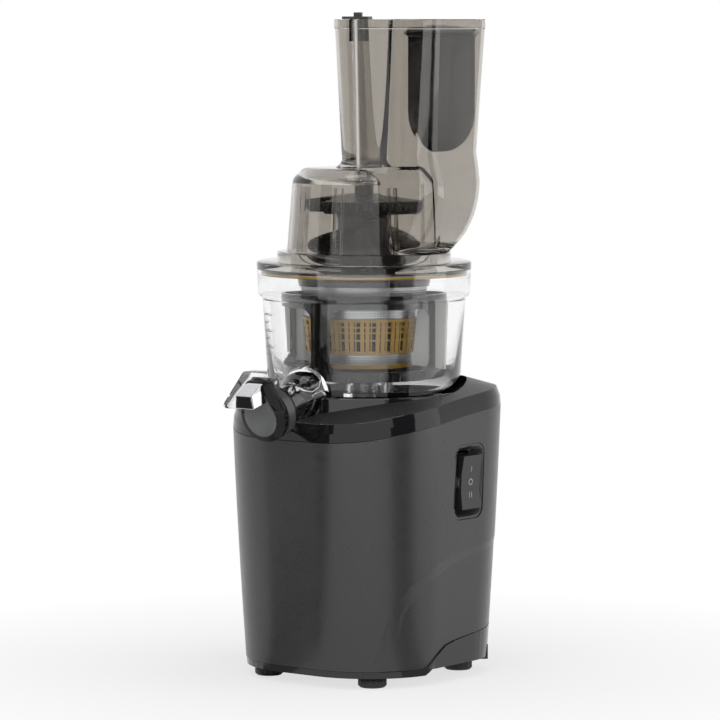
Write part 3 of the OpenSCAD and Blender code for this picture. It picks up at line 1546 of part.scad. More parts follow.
housing();
top_deck();
base_tray();
feet();
rear_panel();
cord_gland();
switch_bezel();
switch_module();
rocker();
chassis_plate();
dampers();
motor_stator();
motor_lower_cover();
motor_upper_cover();
motor_bearings();
rotor();
motor_pinion();
cooling_fan();
gearbox_housing();
gearbox_cover();
gear_bushes();
first_gear();
second_pinion();
output_gear();
output_bearings();
drive_shaft();
shaft_seal();
control_board();
safety_sensor();
housing_screws();
chassis_screws();
gearbox_screws();
bowl();
bowl_seal();
strainer_mesh();
strainer_frame();
idler_gear();
idler_pin();
wiper_frame();
wiper_blades();
auger();
cutting_disc();
spout_collar();
spout_gasket();
cap_pin();
cap_frame();
cap_face();
cap_lever();
cap_seal();
lid_seal();
lid_dome();
feed_tower();
gate_pin();
feed_gate();
latch_bracket();
latch_button();
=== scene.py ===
# %% [markdown]
# # A cold press juicer, dressed for its portrait
#
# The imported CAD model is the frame: every solid already stands at its real place and size, in metres.
# This lesson puts finishes on those solids, and models again the pieces whose shape carries the look:
# the housing with its swept relief, the glossy deck, the clear bowl, the smoked lid with its tower, the
# perforated strainer with its gold band, the chromed lever of the spout's cap, and the small marks.

# %% Load the frame
import json
import math
import bpy
from mathutils import Matrix, Vector


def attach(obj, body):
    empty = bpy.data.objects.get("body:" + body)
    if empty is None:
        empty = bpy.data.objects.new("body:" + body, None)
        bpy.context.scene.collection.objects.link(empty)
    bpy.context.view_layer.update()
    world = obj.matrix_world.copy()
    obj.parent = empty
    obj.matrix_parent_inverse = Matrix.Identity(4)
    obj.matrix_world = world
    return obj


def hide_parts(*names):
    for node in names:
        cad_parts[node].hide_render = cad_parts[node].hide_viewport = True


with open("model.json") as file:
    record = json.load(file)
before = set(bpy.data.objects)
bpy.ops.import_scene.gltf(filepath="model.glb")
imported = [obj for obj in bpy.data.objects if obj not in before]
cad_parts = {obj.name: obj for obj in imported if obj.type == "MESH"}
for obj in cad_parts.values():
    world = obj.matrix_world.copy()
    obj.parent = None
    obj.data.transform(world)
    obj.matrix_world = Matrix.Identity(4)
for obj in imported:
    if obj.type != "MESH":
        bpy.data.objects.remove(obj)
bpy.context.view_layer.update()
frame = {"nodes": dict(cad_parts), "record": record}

# %% [markdown]
# The photograph is a long-lens product shot. The camera stands in front and to the right, as high as the
# juicer's own top, and looks slightly down. A 210 mm lens from three metres keeps the verticals almost
# parallel, as the picture has them.

# %% Camera
CAMERA_TURN = math.radians(37.3)
CAMERA_FAR = 3.099
CAMERA_UP = 0.491
CAMERA_DOWN = math.radians(4.764)
CAMERA_ASIDE = math.radians(0.055)
bpy.ops.object.camera_add(
    location=(CAMERA_FAR * math.sin(CAMERA_TURN), -CAMERA_FAR * math.cos(CAMERA_TURN), CAMERA_UP),
    rotation=(math.radians(90) - CAMERA_DOWN, 0, CAMERA_TURN + CAMERA_ASIDE))
camera = bpy.context.object
camera.data.lens = 210
camera.data.sensor_width = 36
camera.data.clip_end = 50
bpy.context.scene.camera = camera
print("camera at", [round(v, 3) for v in camera.location])

# %% [markdown]
# Gloss and clear plastic show the room they stand in, so the room is part of the look. It is the usual
# one for such a picture: a broad soft box in front, a second at the right, black gaps between them that
# draw the dark vertical bands, and a white sweep behind. What the lens sees past the juicer is white. The
# light that falls on matt surfaces is kept lower, so that a colour comes out about as it is written.

# %% Room and lamps
bpy.context.scene.view_settings.view_transform = "Standard"
WHITE_LEVEL = 1.0
FILL_LEVEL = 0.3
GAP_LEVEL = 0.05
SWEEP_TURN = math.radians(-39.7)
# The sweep fills all that lies behind the plane across this turn, as the cosine of the angle.
SWEEP_EDGE = 0.05


def world_light():
    world = bpy.data.worlds.new("studio")
    bpy.context.scene.world = world
    world.use_nodes = True
    nodes, links = world.node_tree.nodes, world.node_tree.links
    nodes.clear()

    def background(level):
        made = nodes.new("ShaderNodeBackground")
        made.inputs["Color"].default_value = (1, 1, 1, 1)
        made.inputs["Strength"].default_value = level
        return made.outputs[0]

    def mix(factor, first, second):
        made = nodes.new("ShaderNodeMixShader")
        links.new(factor, made.inputs["Fac"])
        links.new(first, made.inputs[1])
        links.new(second, made.inputs[2])
        return made.outputs[0]

    path = nodes.new("ShaderNodeLightPath")
    looks = nodes.new("ShaderNodeTexCoord")
    towards = nodes.new("ShaderNodeVectorMath")
    towards.operation = "DOT_PRODUCT"
    towards.inputs[1].default_value = (math.cos(SWEEP_TURN), math.sin(SWEEP_TURN), 0)
    links.new(looks.outputs["Generated"], towards.inputs[0])
    behind = nodes.new("ShaderNodeMath")
    behind.operation = "LESS_THAN"
    behind.inputs[1].default_value = SWEEP_EDGE
    links.new(towards.outputs["Value"], behind.inputs[0])
    seen = nodes.new("ShaderNodeMath")
    seen.operation = "MAXIMUM"
    links.new(path.outputs["Is Glossy Ray"], seen.inputs[0])
    links.new(path.outputs["Is Transmission Ray"], seen.inputs[1])
    room = mix(behind.outputs[0], background(GAP_LEVEL), background(WHITE_LEVEL))
    lit = mix(seen.outputs[0], background(FILL_LEVEL), room)
    whole = mix(path.outputs["Is Camera Ray"], lit, background(WHITE_LEVEL))
    links.new(whole, nodes.new("ShaderNodeOutputWorld").inputs["Surface"])


def lamp(name, turn, up, far, size, watts, aim=0.25):
    """A soft area lamp, placed by its turn round the juicer and its height, that looks at the juicer."""
    place = Vector((far * math.cos(math.radians(turn)), far * math.sin(math.radians(turn)), up))
    bpy.ops.object.light_add(type="AREA", location=place)
    light = bpy.context.object
    light.name = name
    light.rotation_euler = (Vector((0, 0, aim)) - place).to_track_quat("-Z", "Y").to_euler()
    light.data.shape = "RECTANGLE"
    light.data.size, light.data.size_y = size
    light.data.energy = watts


world_light()
lamp("front_box", -67, 0.85, 1.5, (2.3, 1.7), 14, 0.85)
lamp("right_box", 24, 0.85, 1.6, (1.2, 1.7), 11, 0.85)
lamp("top_box", -52, 1.9, 0.4, (1.0, 1.0), 7)

# %% [markdown]
# The floor is a wide plane. Near the juicer it keeps a share of its own shading, so that the soft shadow
# stays, and further out it turns into plain white, so that no horizon shows. The floor also carries a painted
# reflection: for mirrored rays only, two sectors of it are painted dark, so that where a leaning wall mirrors
# the floor, the dark gaps between the soft boxes run on over it.

# %% Floor
SHADE_SHARE = 0.3
SHADE_NEAR, SHADE_FAR = 0.12, 0.45
FLOOR_WIDTH = 40
FLOOR_GREY = 0.86
# Middle and half width of each painted dark gap, seen only in mirrored rays, as turns round the juicer in
# degrees
FLOOR_PAINTED_GAPS = ((-12, 13), (-115.4, 11.4))
bpy.ops.mesh.primitive_plane_add(size=FLOOR_WIDTH, location=(0, 0, 0))
floor = bpy.context.object
floor.name = "floor"
floor_paint = bpy.data.materials.new("floor_white_painted_gaps")
floor_paint.use_nodes = True
nodes, links = floor_paint.node_tree.nodes, floor_paint.node_tree.links
nodes.clear()
matt, glow = nodes.new("ShaderNodeBsdfDiffuse"), nodes.new("ShaderNodeEmission")
matt.inputs["Color"].default_value = (*[FLOOR_GREY] * 3, 1)
path, join = nodes.new("ShaderNodeLightPath"), nodes.new("ShaderNodeMixShader")
spot, far_off, fade = (nodes.new("ShaderNode" + kind) for kind in ("TexCoord", "VectorMath", "MapRange"))
parts = nodes.new("ShaderNodeSeparateXYZ")
links.new(spot.outputs["Object"], parts.inputs[0])


def calculate(operation, *inputs):
    """A step of arithmetic in the floor's paint."""
    made = nodes.new("ShaderNodeMath")
    made.operation = operation
    for i, value in enumerate(inputs):
        if isinstance(value, (int, float)):
            made.inputs[i].default_value = value
        else:
            links.new(value, made.inputs[i])
    return made.outputs[0]


turn = calculate("ARCTAN2", parts.outputs["Y"], parts.outputs["X"])
# Painted reflection: in these sectors the floor's glow is dimmed to the gap level, for mirrored rays only.
dark = calculate("ADD", *[calculate("COMPARE", turn, math.radians(middle), math.radians(half))
                          for middle, half in FLOOR_PAINTED_GAPS])
painted_gap_dimming = calculate("MULTIPLY", calculate("MULTIPLY", dark, path.outputs["Is Glossy Ray"]), 1 - GAP_LEVEL)
links.new(calculate("SUBTRACT", 1.0, painted_gap_dimming), glow.inputs["Strength"])
far_off.operation = "LENGTH"
links.new(spot.outputs["Object"], far_off.inputs[0])
links.new(far_off.outputs["Value"], fade.inputs["Value"])
fade.inputs["From Min"].default_value = SHADE_NEAR
fade.inputs["From Max"].default_value = SHADE_FAR
fade.inputs["To Min"].default_value = 1 - SHADE_SHARE
fade.inputs["To Max"].default_value = 1
seen = calculate("MAXIMUM", path.outputs["Is Camera Ray"], path.outputs["Is Transmission Ray"])
seen = calculate("MAXIMUM", seen, path.outputs["Is Glossy Ray"])
links.new(calculate("MULTIPLY", seen, fade.outputs["Result"]), join.inputs["Fac"])
links.new(matt.outputs[0], join.inputs[1])
links.new(glow.outputs[0], join.inputs[2])
links.new(join.outputs[0], nodes.new("ShaderNodeOutputMaterial").inputs["Surface"])
floor.data.materials.append(floor_paint)

# %% [markdown]
# ## Finishes
#
# Every finish starts from the same idea: a moulded or machined surface is never one flat colour. Fine
# noise moves the colour and the gloss by a few percent, and a finer one gives the grain as bump. All of
# it reads Object coordinates, so it stays on the piece in every pose.

# %% Finish helpers


class Finish:
    """A material with a Principled shader and short calls to wire nodes to it."""

    def __init__(self, name):
        self.material = bpy.data.materials.new(name)
        self.material.use_nodes = True
        self.tree = self.material.node_tree
        self.tree.nodes.clear()
        self.out = self.node("OutputMaterial")
        self.shader = self.node("BsdfPrincipled")
        self.link(self.shader.outputs[0], self.out.inputs["Surface"])
        self.place = self.node("TexCoord").outputs["Object"]

    def node(self, kind, **values):
        made = self.tree.nodes.new("ShaderNode" + kind)
        for key, value in values.items():
            setattr(made, key, value)
        return made

    def link(self, start, end):
        self.tree.links.new(start, end)

    def math(self, operation, *inputs):
        made = self.node("Math", operation=operation)
        for i, value in enumerate(inputs):
            if isinstance(value, (int, float)):
                made.inputs[i].default_value = value
            else:
                self.link(value, made.inputs[i])
        return made.outputs[0]

    def noise(self, scale, detail=3.0, stretch=(1, 1, 1)):
        mapping, noise = self.node("Mapping"), self.node("TexNoise")
        mapping.inputs["Scale"].default_value = stretch
        noise.inputs["Scale"].default_value = scale
        noise.inputs["Detail"].default_value = detail
        self.link(self.place, mapping.inputs["Vector"])
        self.link(mapping.outputs[0], noise.inputs["Vector"])
        return noise.outputs[0]

    def spread(self, value, low, high, start=0.3, end=0.7):
        """Maps a noise onto a range of values."""
        made = self.node("MapRange")
        for key, number in (("From Min", start), ("From Max", end), ("To Min", low), ("To Max", high)):
            made.inputs[key].default_value = number
        self.link(value, made.inputs["Value"])
        return made.outputs[0]

    def between(self, value, low, high):
        """A colour between two colours."""
        made = self.node("Mix", data_type="RGBA")
        self.link(value, made.inputs["Factor"])
        for slot, colour in ((made.inputs[6], low), (made.inputs[7], high)):
            if isinstance(colour, tuple):
                slot.default_value = (*colour, 1)
            else:
                self.link(colour, slot)
        return made.outputs[2]

    def bump(self, height, depth, strength=1.0):
        """Adds a height in metres to the surface's bump, on top of any bump that it has."""
        made = self.node("Bump")
        made.inputs["Strength"].default_value = strength
        made.inputs["Distance"].default_value = depth
        self.link(height, made.inputs["Height"])
        normal = self.shader.inputs["Normal"]
        if normal.is_linked:
            self.link(normal.links[0].from_socket, made.inputs["Normal"])
        self.link(made.outputs[0], normal)


def shade(colour, amount):
    return tuple(min(1.0, c * amount) for c in colour)


def moulded(name, colour, rough, mottle=0.06, grain=1400, grain_depth=0.00003, coat=0.0):
    """Moulded plastic or rubber: faint cloudiness, a moving gloss and a fine grain."""
    paint = Finish(name)
    cloud = paint.spread(paint.noise(35, 4), 0, 1)
    clouded = paint.between(cloud, shade(colour, 1 - mottle), shade(colour, 1 + mottle))
    paint.link(clouded, paint.shader.inputs["Base Color"])
    paint.link(paint.spread(paint.noise(90, 5), rough * 0.88, rough * 1.12), paint.shader.inputs["Roughness"])
    paint.bump(paint.noise(grain, 2), grain_depth)
    paint.shader.inputs["Coat Weight"].default_value = coat
    return paint


def metal(name, colour, rough, stretch=(1, 1, 1), scale=220, depth=0.00002):
    """Metal with a brushed, turned or cast surface, by the way its noise is stretched."""
    paint = Finish(name)
    paint.shader.inputs["Metallic"].default_value = 1
    streak = paint.noise(scale, 4, stretch)
    streaked = paint.between(paint.spread(streak, 0, 1), shade(colour, 0.86), shade(colour, 1.08))
    paint.link(streaked, paint.shader.inputs["Base Color"])
    paint.link(paint.spread(streak, rough * 0.75, rough * 1.25), paint.shader.inputs["Roughness"])
    paint.bump(streak, depth)
    return paint


def clear(name, tint, shadow, rough=0.03, ripple=0.00004):
    """Clear or smoked plastic. Rays from the lamps pass straight through with a tint, so that what
    stands inside is lit; all other rays bend, as in the real wall."""
    paint = Finish(name)
    shader = paint.shader.inputs
    shader["Transmission Weight"].default_value = 1
    shader["IOR"].default_value = 1.49
    haze = paint.spread(paint.noise(60, 3), 0, 1)
    paint.link(paint.between(haze, shade(tint, 0.985), tint), shader["Base Color"])
    paint.link(paint.spread(paint.noise(140, 4), rough * 0.6, rough * 1.4), shader["Roughness"])
    paint.bump(paint.noise(45, 2), ripple)
    through, path, join = paint.node("BsdfTransparent"), paint.node("LightPath"), paint.node("MixShader")
    through.inputs["Color"].default_value = (*shadow, 1)
    paint.link(path.outputs["Is Shadow Ray"], join.inputs["Fac"])
    paint.link(paint.shader.outputs[0], join.inputs[1])
    paint.link(through.outputs[0], join.inputs[2])
    paint.link(join.outputs[0], paint.out.inputs["Surface"])
    return paint


# %% [markdown]
# The housing is a dark grey satin plastic, the deck and the cap are glossy black, and the feet are
# rubber. The bowl is clear, the lid and the tower are smoked, and the wiper's cage is a darker smoke.

# %% Finishes of the juicer
finishes = {
    "dark_housing": moulded("housing_satin", (0.038, 0.038, 0.039), 0.29, 0.05, 2600, 0.000006),
    "tray_plastic": moulded("tray_satin", (0.02, 0.02, 0.021), 0.14, 0.06, 2200, 0.000006),
    "black_gloss": moulded("black_gloss", (0.008, 0.008, 0.009), 0.07, 0.1, 400, 0.000003, 0.15),
    "black_plastic": moulded("black_satin", (0.014, 0.014, 0.014), 0.3, 0.08, 1500, 0.00003),
    "foot_rubber": moulded("foot_rubber", (0.02, 0.02, 0.02), 0.6, 0.12, 1100, 0.00008),
    "seal_rubber": moulded("seal_rubber", (0.018, 0.018, 0.018), 0.5, 0.1, 900, 0.00004),
    "clear_seal": moulded("pale_silicone", (0.62, 0.62, 0.6), 0.4, 0.03, 700, 0.00004),
    "amber_plastic": moulded("amber_plastic", (0.37, 0.225, 0.04), 0.3, 0.08, 800, 0.00003),
    "auger_plastic": moulded("auger_plastic", (0.03, 0.03, 0.032), 0.26, 0.06, 900, 0.00003),
    "grey_plastic": moulded("grey_plastic", (0.06, 0.06, 0.063), 0.34, 0.06, 1300, 0.00003),
    "face_plastic": moulded("face_satin", (0.112, 0.116, 0.114), 0.42, 0.04, 2200, 0.00002),
    "white_nylon": moulded("white_nylon", (0.7, 0.68, 0.6), 0.38, 0.04, 700, 0.00003),
    "board": moulded("printed_board", (0.02, 0.13, 0.055), 0.3, 0.2, 300, 0.00003),
    "lever_chrome": metal("lever_chrome", (0.62, 0.62, 0.64), 0.1, (1, 1, 6), 400, 0.0000004),
    "sheet_steel": metal("sheet_steel", (0.58, 0.58, 0.6), 0.34, (1, 18, 1)),
    "mesh_steel": metal("mesh_steel", (0.6, 0.6, 0.61), 0.38, (1, 1, 8), 300),
    "ground_steel": metal("ground_steel", (0.6, 0.6, 0.62), 0.22, (1, 1, 14), 300),
    "gear_steel": metal("sintered_steel", (0.48, 0.47, 0.44), 0.42, (1, 1, 1), 500, 0.00004),
    "bronze": metal("sintered_bronze", (0.58, 0.4, 0.19), 0.38, (1, 1, 1), 500, 0.00003),
    "cast_alloy": metal("cast_alloy", (0.6, 0.6, 0.62), 0.46, (1, 1, 1), 160, 0.0001),
    "iron_core": metal("laminated_iron", (0.3, 0.26, 0.23), 0.5, (0.1, 0.1, 20), 160, 0.0001),
    "screw_steel": metal("zinc_steel", (0.6, 0.6, 0.6), 0.3, (1, 1, 4), 500),
    "clear_plastic": clear("clear_plastic", (0.97, 0.973, 0.973), (0.9, 0.9, 0.9), 0.015, 0.00001),
    "smoked_plastic": clear("smoked_plastic", (0.565, 0.54, 0.503), (0.6, 0.58, 0.55), 0.015, 0.00001),
}
dark_smoke = clear("dark_smoke", (0.05, 0.05, 0.052), (0.3, 0.3, 0.3), 0.05, 0.00001)
mark_print = moulded("mark_print", (0.3, 0.3, 0.3), 0.5, 0.04)
ring_black = moulded("ring_black", (0.007, 0.007, 0.007), 0.3, 0.08, 1500, 0.00001)
ring_black.shader.inputs["Specular IOR Level"].default_value = 0.22
print("finishes:", len(finishes) + 3)

# %% [markdown]
# The deck is glossy, and its sloped top carries a fine diagonal hatch. Two crossed waves, each a
# millimetre and a half wide, give that hatch as height. A mask keeps it off the steep facets and the
# round plinth: it only acts where the surface looks up and isn't quite level.

# %% Deck finish
HATCH_SCALE = 190
HATCH_DEPTH, HATCH_STRENGTH = 0.00025, 0.8
PLAIN_ROUGHNESS, HATCH_ROUGHNESS = 0.07, 0.34
SLOPE_START, SLOPE_END, NEARLY_LEVEL = 0.75, 0.85, 0.999
DECK_BLACK, HATCH_GREY = (0.008, 0.008, 0.009), (0.02, 0.02, 0.021)
deck_gloss = moulded("deck_gloss", DECK_BLACK, 0.08, 0.1, 400, 0.000003)
deck_gloss.shader.inputs["Specular IOR Level"].default_value = 0.4
waves = []
for hatch_turn in (45, -45):
    tilt, wave = deck_gloss.node("Mapping"), deck_gloss.node("TexWave")
    tilt.inputs["Rotation"].default_value = (0, 0, math.radians(hatch_turn))
    wave.inputs["Scale"].default_value = HATCH_SCALE
    deck_gloss.link(deck_gloss.place, tilt.inputs["Vector"])
    deck_gloss.link(tilt.outputs[0], wave.inputs["Vector"])
    waves.append(wave.outputs["Fac"])
facing = deck_gloss.node("SeparateXYZ")
deck_gloss.link(deck_gloss.node("NewGeometry").outputs["Normal"], facing.inputs[0])
up = deck_gloss.spread(facing.outputs["Z"], 0, 1, SLOPE_START, SLOPE_END)
level = deck_gloss.math("LESS_THAN", facing.outputs["Z"], NEARLY_LEVEL)
mask = deck_gloss.math("MULTIPLY", up, level)
hatch = deck_gloss.math("MULTIPLY", deck_gloss.math("MAXIMUM", *waves), mask)
deck_gloss.bump(hatch, HATCH_DEPTH, HATCH_STRENGTH)
deck_roughness = deck_gloss.spread(mask, PLAIN_ROUGHNESS, HATCH_ROUGHNESS, 0, 1)
deck_gloss.link(deck_roughness, deck_gloss.shader.inputs["Roughness"])
deck_gloss.link(deck_gloss.between(hatch, DECK_BLACK, HATCH_GREY), deck_gloss.shader.inputs["Base Color"])
print("hatch waves:", len(waves))

# %% [markdown]
# Every CAD solid first takes the finish of its own material slot. A piece that is modelled again later
# hides its solid.

# %% Finishes on the CAD solids
slot_of = {s["node"]: s["material_slot"] for s in frame["record"]["subparts"]}
body_of = {n: body for body, names in frame["record"]["behaviour"]["bodies"].items() for n in names}
for name, solid in frame["nodes"].items():
    solid.data.materials.clear()
    solid.data.materials.append(finishes[slot_of[name]].material)
print("solids:", len(slot_of))

# %% [markdown]
# ## Shaping helpers
#
# An operator works on what is selected, so each helper starts from a clean selection. A copy of a solid
# comes as loose triangles: its doubles are merged first, and then its round faces can be shaded smooth
# while its real edges stay crisp.

# %% Shaping helpers
MM = 0.001


def only(piece):
    for o in bpy.context.selected_objects:
        o.select_set(False)
    piece.hide_viewport = False
    piece.select_set(True)
    bpy.context.view_layer.objects.active = piece


def editing(piece, *steps):
    """Runs operators in edit mode, on all of the piece."""
    only(piece)
    bpy.ops.object.mode_set(mode="EDIT")
    bpy.ops.mesh.select_all(action="SELECT")
    for step in steps:
        step()
    bpy.ops.object.mode_set(mode="OBJECT")


def smooth(piece, crease=32):
    only(piece)
    bpy.ops.object.shade_smooth_by_angle(angle=math.radians(crease))


def modify(piece, kind, **values):
    """Adds a modifier and applies it at once."""
    only(piece)
    modifier = piece.modifiers.new(kind.lower(), kind)
    for key, value in values.items():
        setattr(modifier, key, value)
    bpy.ops.object.modifier_apply(modifier=modifier.name)


def volume(piece):
    """Volume in cubic centimetres; it is negative where the faces point inwards."""
    mesh = piece.data
    mesh.calc_loop_triangles()
    corners = ([mesh.vertices[i].co for i in t.vertices] for t in mesh.loop_triangles)
    return sum(a.dot(b.cross(c)) for a, b, c in corners) / 6 * 1e6


def carve(piece, tool, operation="DIFFERENCE"):
    """Cuts a tool's volume out of a piece, or welds it on, and throws the tool away."""
    before, other = volume(piece), volume(tool)
    modify(piece, "BOOLEAN", object=tool, operation=operation, solver="EXACT")
    after = volume(piece)
    print(piece.name, round(before, 1), operation.lower(), tool.name, round(other, 1), "->", round(after, 1))
    bpy.data.objects.remove(tool)


def merged():
    bpy.ops.mesh.remove_doubles(threshold=0.00001)


def outwards():
    bpy.ops.mesh.normals_make_consistent(inside=False)


def no_loose():
    bpy.ops.mesh.delete_loose(use_verts=True, use_edges=True, use_faces=False)


def copy_of(node, name, crease=32):
    """A merged copy of a CAD solid's mesh, with its round faces smooth."""
    piece = bpy.data.objects.new(name, frame["nodes"][node].data.copy())
    bpy.context.scene.collection.objects.link(piece)
    editing(piece, lambda: bpy.ops.mesh.remove_doubles(threshold=0.00002))
    smooth(piece, crease)
    return piece


def settle(piece, body, slot, finish=None, nodes=()):
    """Places a piece in its mesh, gives it its finish and ties it to its body."""
    only(piece)
    bpy.ops.object.transform_apply(location=True, rotation=True, scale=True)
    piece.data.materials.clear()
    piece.data.materials.append((finish or finishes[slot]).material)
    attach(piece, body)
    if nodes:
        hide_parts(*nodes)
    return piece


# %% [markdown]
# Round pieces are turned as on a lathe. A ring of points stands for the cut through the wall, in
# millimetres of radius and height, and the Spin operator carries it round the axis. Doubles at the seam
# and on the axis are merged before the normals are made to point outwards. Straight pieces are drawn flat
# and raised, or start as a block whose edges get a bevel.

# %% Lathe, prism and block


def outline_of(name, points, flat="XZ"):
    """A closed ring of edges through the points, standing in the XZ plane or lying in XY."""
    bpy.ops.mesh.primitive_circle_add(vertices=len(points), radius=0.01, location=(0, 0, 0))
    piece = bpy.context.object
    piece.name = name
    for vertex, (a, b) in zip(piece.data.vertices, points):
        vertex.co = (a * MM, 0, b * MM) if flat == "XZ" else (a * MM, b * MM, 0)
    return piece


def turned(name, points, steps=128, turn=360):
    """Turns an outline of (radius, height) round the vertical axis."""
    piece = outline_of(name, points)
    whole = turn == 360
    editing(
        piece,
        lambda: bpy.ops.mesh.edge_face_add() if not whole else None,
        lambda: bpy.ops.mesh.spin(steps=steps, angle=math.radians(turn), center=(0, 0, 0), axis=(0, 0, 1)))
    editing(piece, merged, no_loose)
    # Deleting what is loose leaves nothing selected, so the normals get a turn of their own.
    editing(piece, outwards)
    return piece


def prism(name, points, depth):
    """Raises a flat outline in (x, y) into a block of the given depth in z."""
    piece = outline_of(name, points, "XY")
    editing(
        piece, bpy.ops.mesh.edge_face_add,
        lambda: bpy.ops.mesh.extrude_region_move(TRANSFORM_OT_translate={"value": (0, 0, depth * MM)}))
    editing(piece, outwards)
    return piece


def block(name, size, bevel):
    """A block with bevelled edges, by its size in millimetres."""
    bpy.ops.mesh.primitive_cube_add(size=1, location=(0, 0, 0))
    piece = bpy.context.object
    piece.name = name
    piece.scale = [side * MM for side in size]
    only(piece)
    bpy.ops.object.transform_apply(location=True, rotation=True, scale=True)
    modify(piece, "BEVEL", width=bevel * MM, segments=1)
    return piece


def column(name, radius, low, high, steps=128):
    """A round block between two heights."""
    return turned(name, [(0, low), (radius, low), (radius, high), (0, high)], steps)


def put(piece, matrix):
    piece.data.transform(matrix)
    return piece


def rounded(left, right, front, back, radius, steps=8):
    """A rounded rectangle, counter-clockwise from its back right corner."""
    corners = ((right, back, 0), (left, back, 90), (left, front, 180), (right, front, 270))
    points = []
    for x, y, first in corners:
        cx = x - radius if x == right else x + radius
        cy = y - radius if y == back else y + radius
        points += [(cx + radius * math.cos(math.radians(first + 90 * i / steps)),
                    cy + radius * math.sin(math.radians(first + 90 * i / steps))) for i in range(steps + 1)]
    return points


print("lathe, prism and block ready")

# %% [markdown]
# Some solids have the right shape already, and only need their facets smoothed and their edges kept. A
# merged copy stands in for each of them.

# %% Smoothed copies of the visible solids
SMOOTHED = [
    "base_tray", "feed_gate", "wiper_frame", "wiper_blades", "auger", "cutting_disc", "spout_collar",
    "spout_gasket", "cap_frame", "cap_face", "cap_seal", "feet", "lid_seal", "latch_bracket",
    "drive_shaft", "idler_gear", "bowl_seal", "switch_bezel", "rocker", "gate_pin", "cap_pin",
]
OWN_FINISH = {"wiper_frame": dark_smoke, "feed_gate": dark_smoke,
              "cap_frame": ring_black, "spout_gasket": ring_black, "switch_bezel": finishes["dark_housing"],
              "rocker": finishes["black_plastic"]}
# The rocker's planes meet at small angles, and those edges are crisp.
CREASE = {"rocker": 5}
for node in SMOOTHED:
    shown = copy_of(node, node + "_shown", CREASE.get(node, 32))
    settle(shown, body_of[node], slot_of[node], OWN_FINISH.get(node), (node,))
print("smoothed copies:", len(SMOOTHED))

# %% [markdown]
# ## The clear bowl
#
# The bowl is one clear moulding: a flat floor with a boss for the shaft, a slightly conical wall, a rim
# that steps out twice, a round spout and, on the far side, the hood over the pulp outlet. The wall is
# turned on the lathe. Spout and hood are made whole and welded on, and then the two ways through them
# are cut, as a core pin does it in the mould.

# %% Bowl
SPOUT_TILT, SPOUT_REACH, SPOUT_Z = 15, 115, 201
SPOUT_BORE_R, SPOUT_BORE_L = 12.1, 56.3
HOOD_WIDE, HOOD_BEVEL, PULP_WIDE = 34, 1.5, 30
BOWL_WALL = [
    (10.6, 211), (70, 211), (70.6, 211.6), (71, 215), (75, 278.6), (75.6, 279.6), (77.6, 281.6),
    (78.6, 283.6), (79, 300.6), (76.4, 300.6), (76.4, 296.8), (73, 296.8), (73, 294.8), (76.2, 294.8),
    (76, 283.6), (75, 281.6), (73, 279.6), (72.4, 278.6), (68.4, 217), (67.4, 214.6), (66, 214),
    (13.6, 214), (13.6, 219), (10.6, 219),
]
# Half way through the wall, where the spout's and the hood's own bodies end
BOWL_MIDDLE = [(0, 212.5), (68, 212.5), (69.7, 216), (73.7, 279), (73.9, 288), (0, 288)]
SPOUT_PIPE = [
    (0, 1.5), (14.5, 1.5), (14.5, 26), (14.7, 30), (16.5, 36), (19, 42), (19.6, 46), (19.6, 58.7), (0, 58.7),
]
spout_frame = (Matrix.Translation((0, -SPOUT_REACH * MM, SPOUT_Z * MM))
               @ Matrix.Rotation(math.radians(90 + SPOUT_TILT), 4, "X"))
# The pipe's own axis runs from the mouth back into the bowl.
inwards = spout_frame @ Matrix.Diagonal((1, 1, -1, 1))


def pipe(name, outline, steps=64):
    """A turned piece that lies along the spout, from its mouth inwards."""
    piece = put(turned(name, outline, steps), inwards)
    editing(piece, outwards)
    return piece


def rod(name, radius, start, end):
    """A round rod that lies along the spout."""
    return pipe(name, [(0, start), (radius, start), (radius, end), (0, end)])


HOOD_SIDE = [
    (-38, 211.1), (-38, 220.2), (-102, 220.2), (-121, 195), (-121, 191), (-91.5, 191), (-91.5, 211.1),
]
PULP_WAY = [
    (-36, 214), (-36, 219.2), (-101.4, 219.2), (-119.6, 195), (-119.6, 190), (-92.5, 190), (-92.5, 214),
]


def across(name, side, width):
    """A block with its side face drawn in (x, z), reaching the same way to both sides of y = 0."""
    turn = Matrix(((1, 0, 0, 0), (0, 0, -1, width / 2 * MM), (0, 1, 0, 0), (0, 0, 0, 1)))
    piece = put(prism(name, side, width), turn)
    editing(piece, outwards)
    return piece


bowl = turned("bowl_clear", BOWL_WALL, 144)
root = pipe("spout_outside", SPOUT_PIPE)
carve(root, turned("bowl_middle", BOWL_MIDDLE, 140))
carve(bowl, root, "UNION")
hood = across("hood_outside", HOOD_SIDE, HOOD_WIDE)
modify(hood, "BEVEL", width=HOOD_BEVEL * MM, segments=2)
carve(hood, turned("bowl_middle", BOWL_MIDDLE, 140))
carve(bowl, hood, "UNION")
carve(bowl, rod("spout_bore", SPOUT_BORE_R, 0, SPOUT_BORE_L))
carve(bowl, across("pulp_way", PULP_WAY, PULP_WIDE))
smooth(bowl, 32)
settle(bowl, "bowl", "clear_plastic", nodes=("bowl",))
print("bowl faces:", len(bowl.data.polygons))

# %% [markdown]
# ## Smoked lid and tower
#
# The lid is a smoked dome with a ring that locks on the bowl. Two ways lead into it: a slim round tube on
# the dome's middle for sticks, and beside it a wide chute that bows outwards and ends in a broad mouth. On
# the real machine they are welded together, so here they are one body of plastic. The chute is a stack of
# rounded rings: a grid is wrapped round the axis, its rows are laid on the rings, and its ends are closed.

# %% Lid
LID_WALL = [
    (54.6, 300.9), (79.3, 300.9), (79.3, 305.3), (78.9, 306), (78.3, 306.3), (64.2, 306.3), (64.2, 312.8),
    (63.9, 313.5), (63.2, 313.8), (57, 313.8), (53, 363), (52.6, 366.2), (51.2, 368.6), (45.2, 374.2),
    (43.2, 375.1), (41, 375.3), (0, 375.3), (0, 372.9), (5, 372.9), (5, 361.9), (7.4, 361.9), (7.4, 372.9),
    (41, 372.9), (50.6, 364.1), (54.6, 313.8),
]
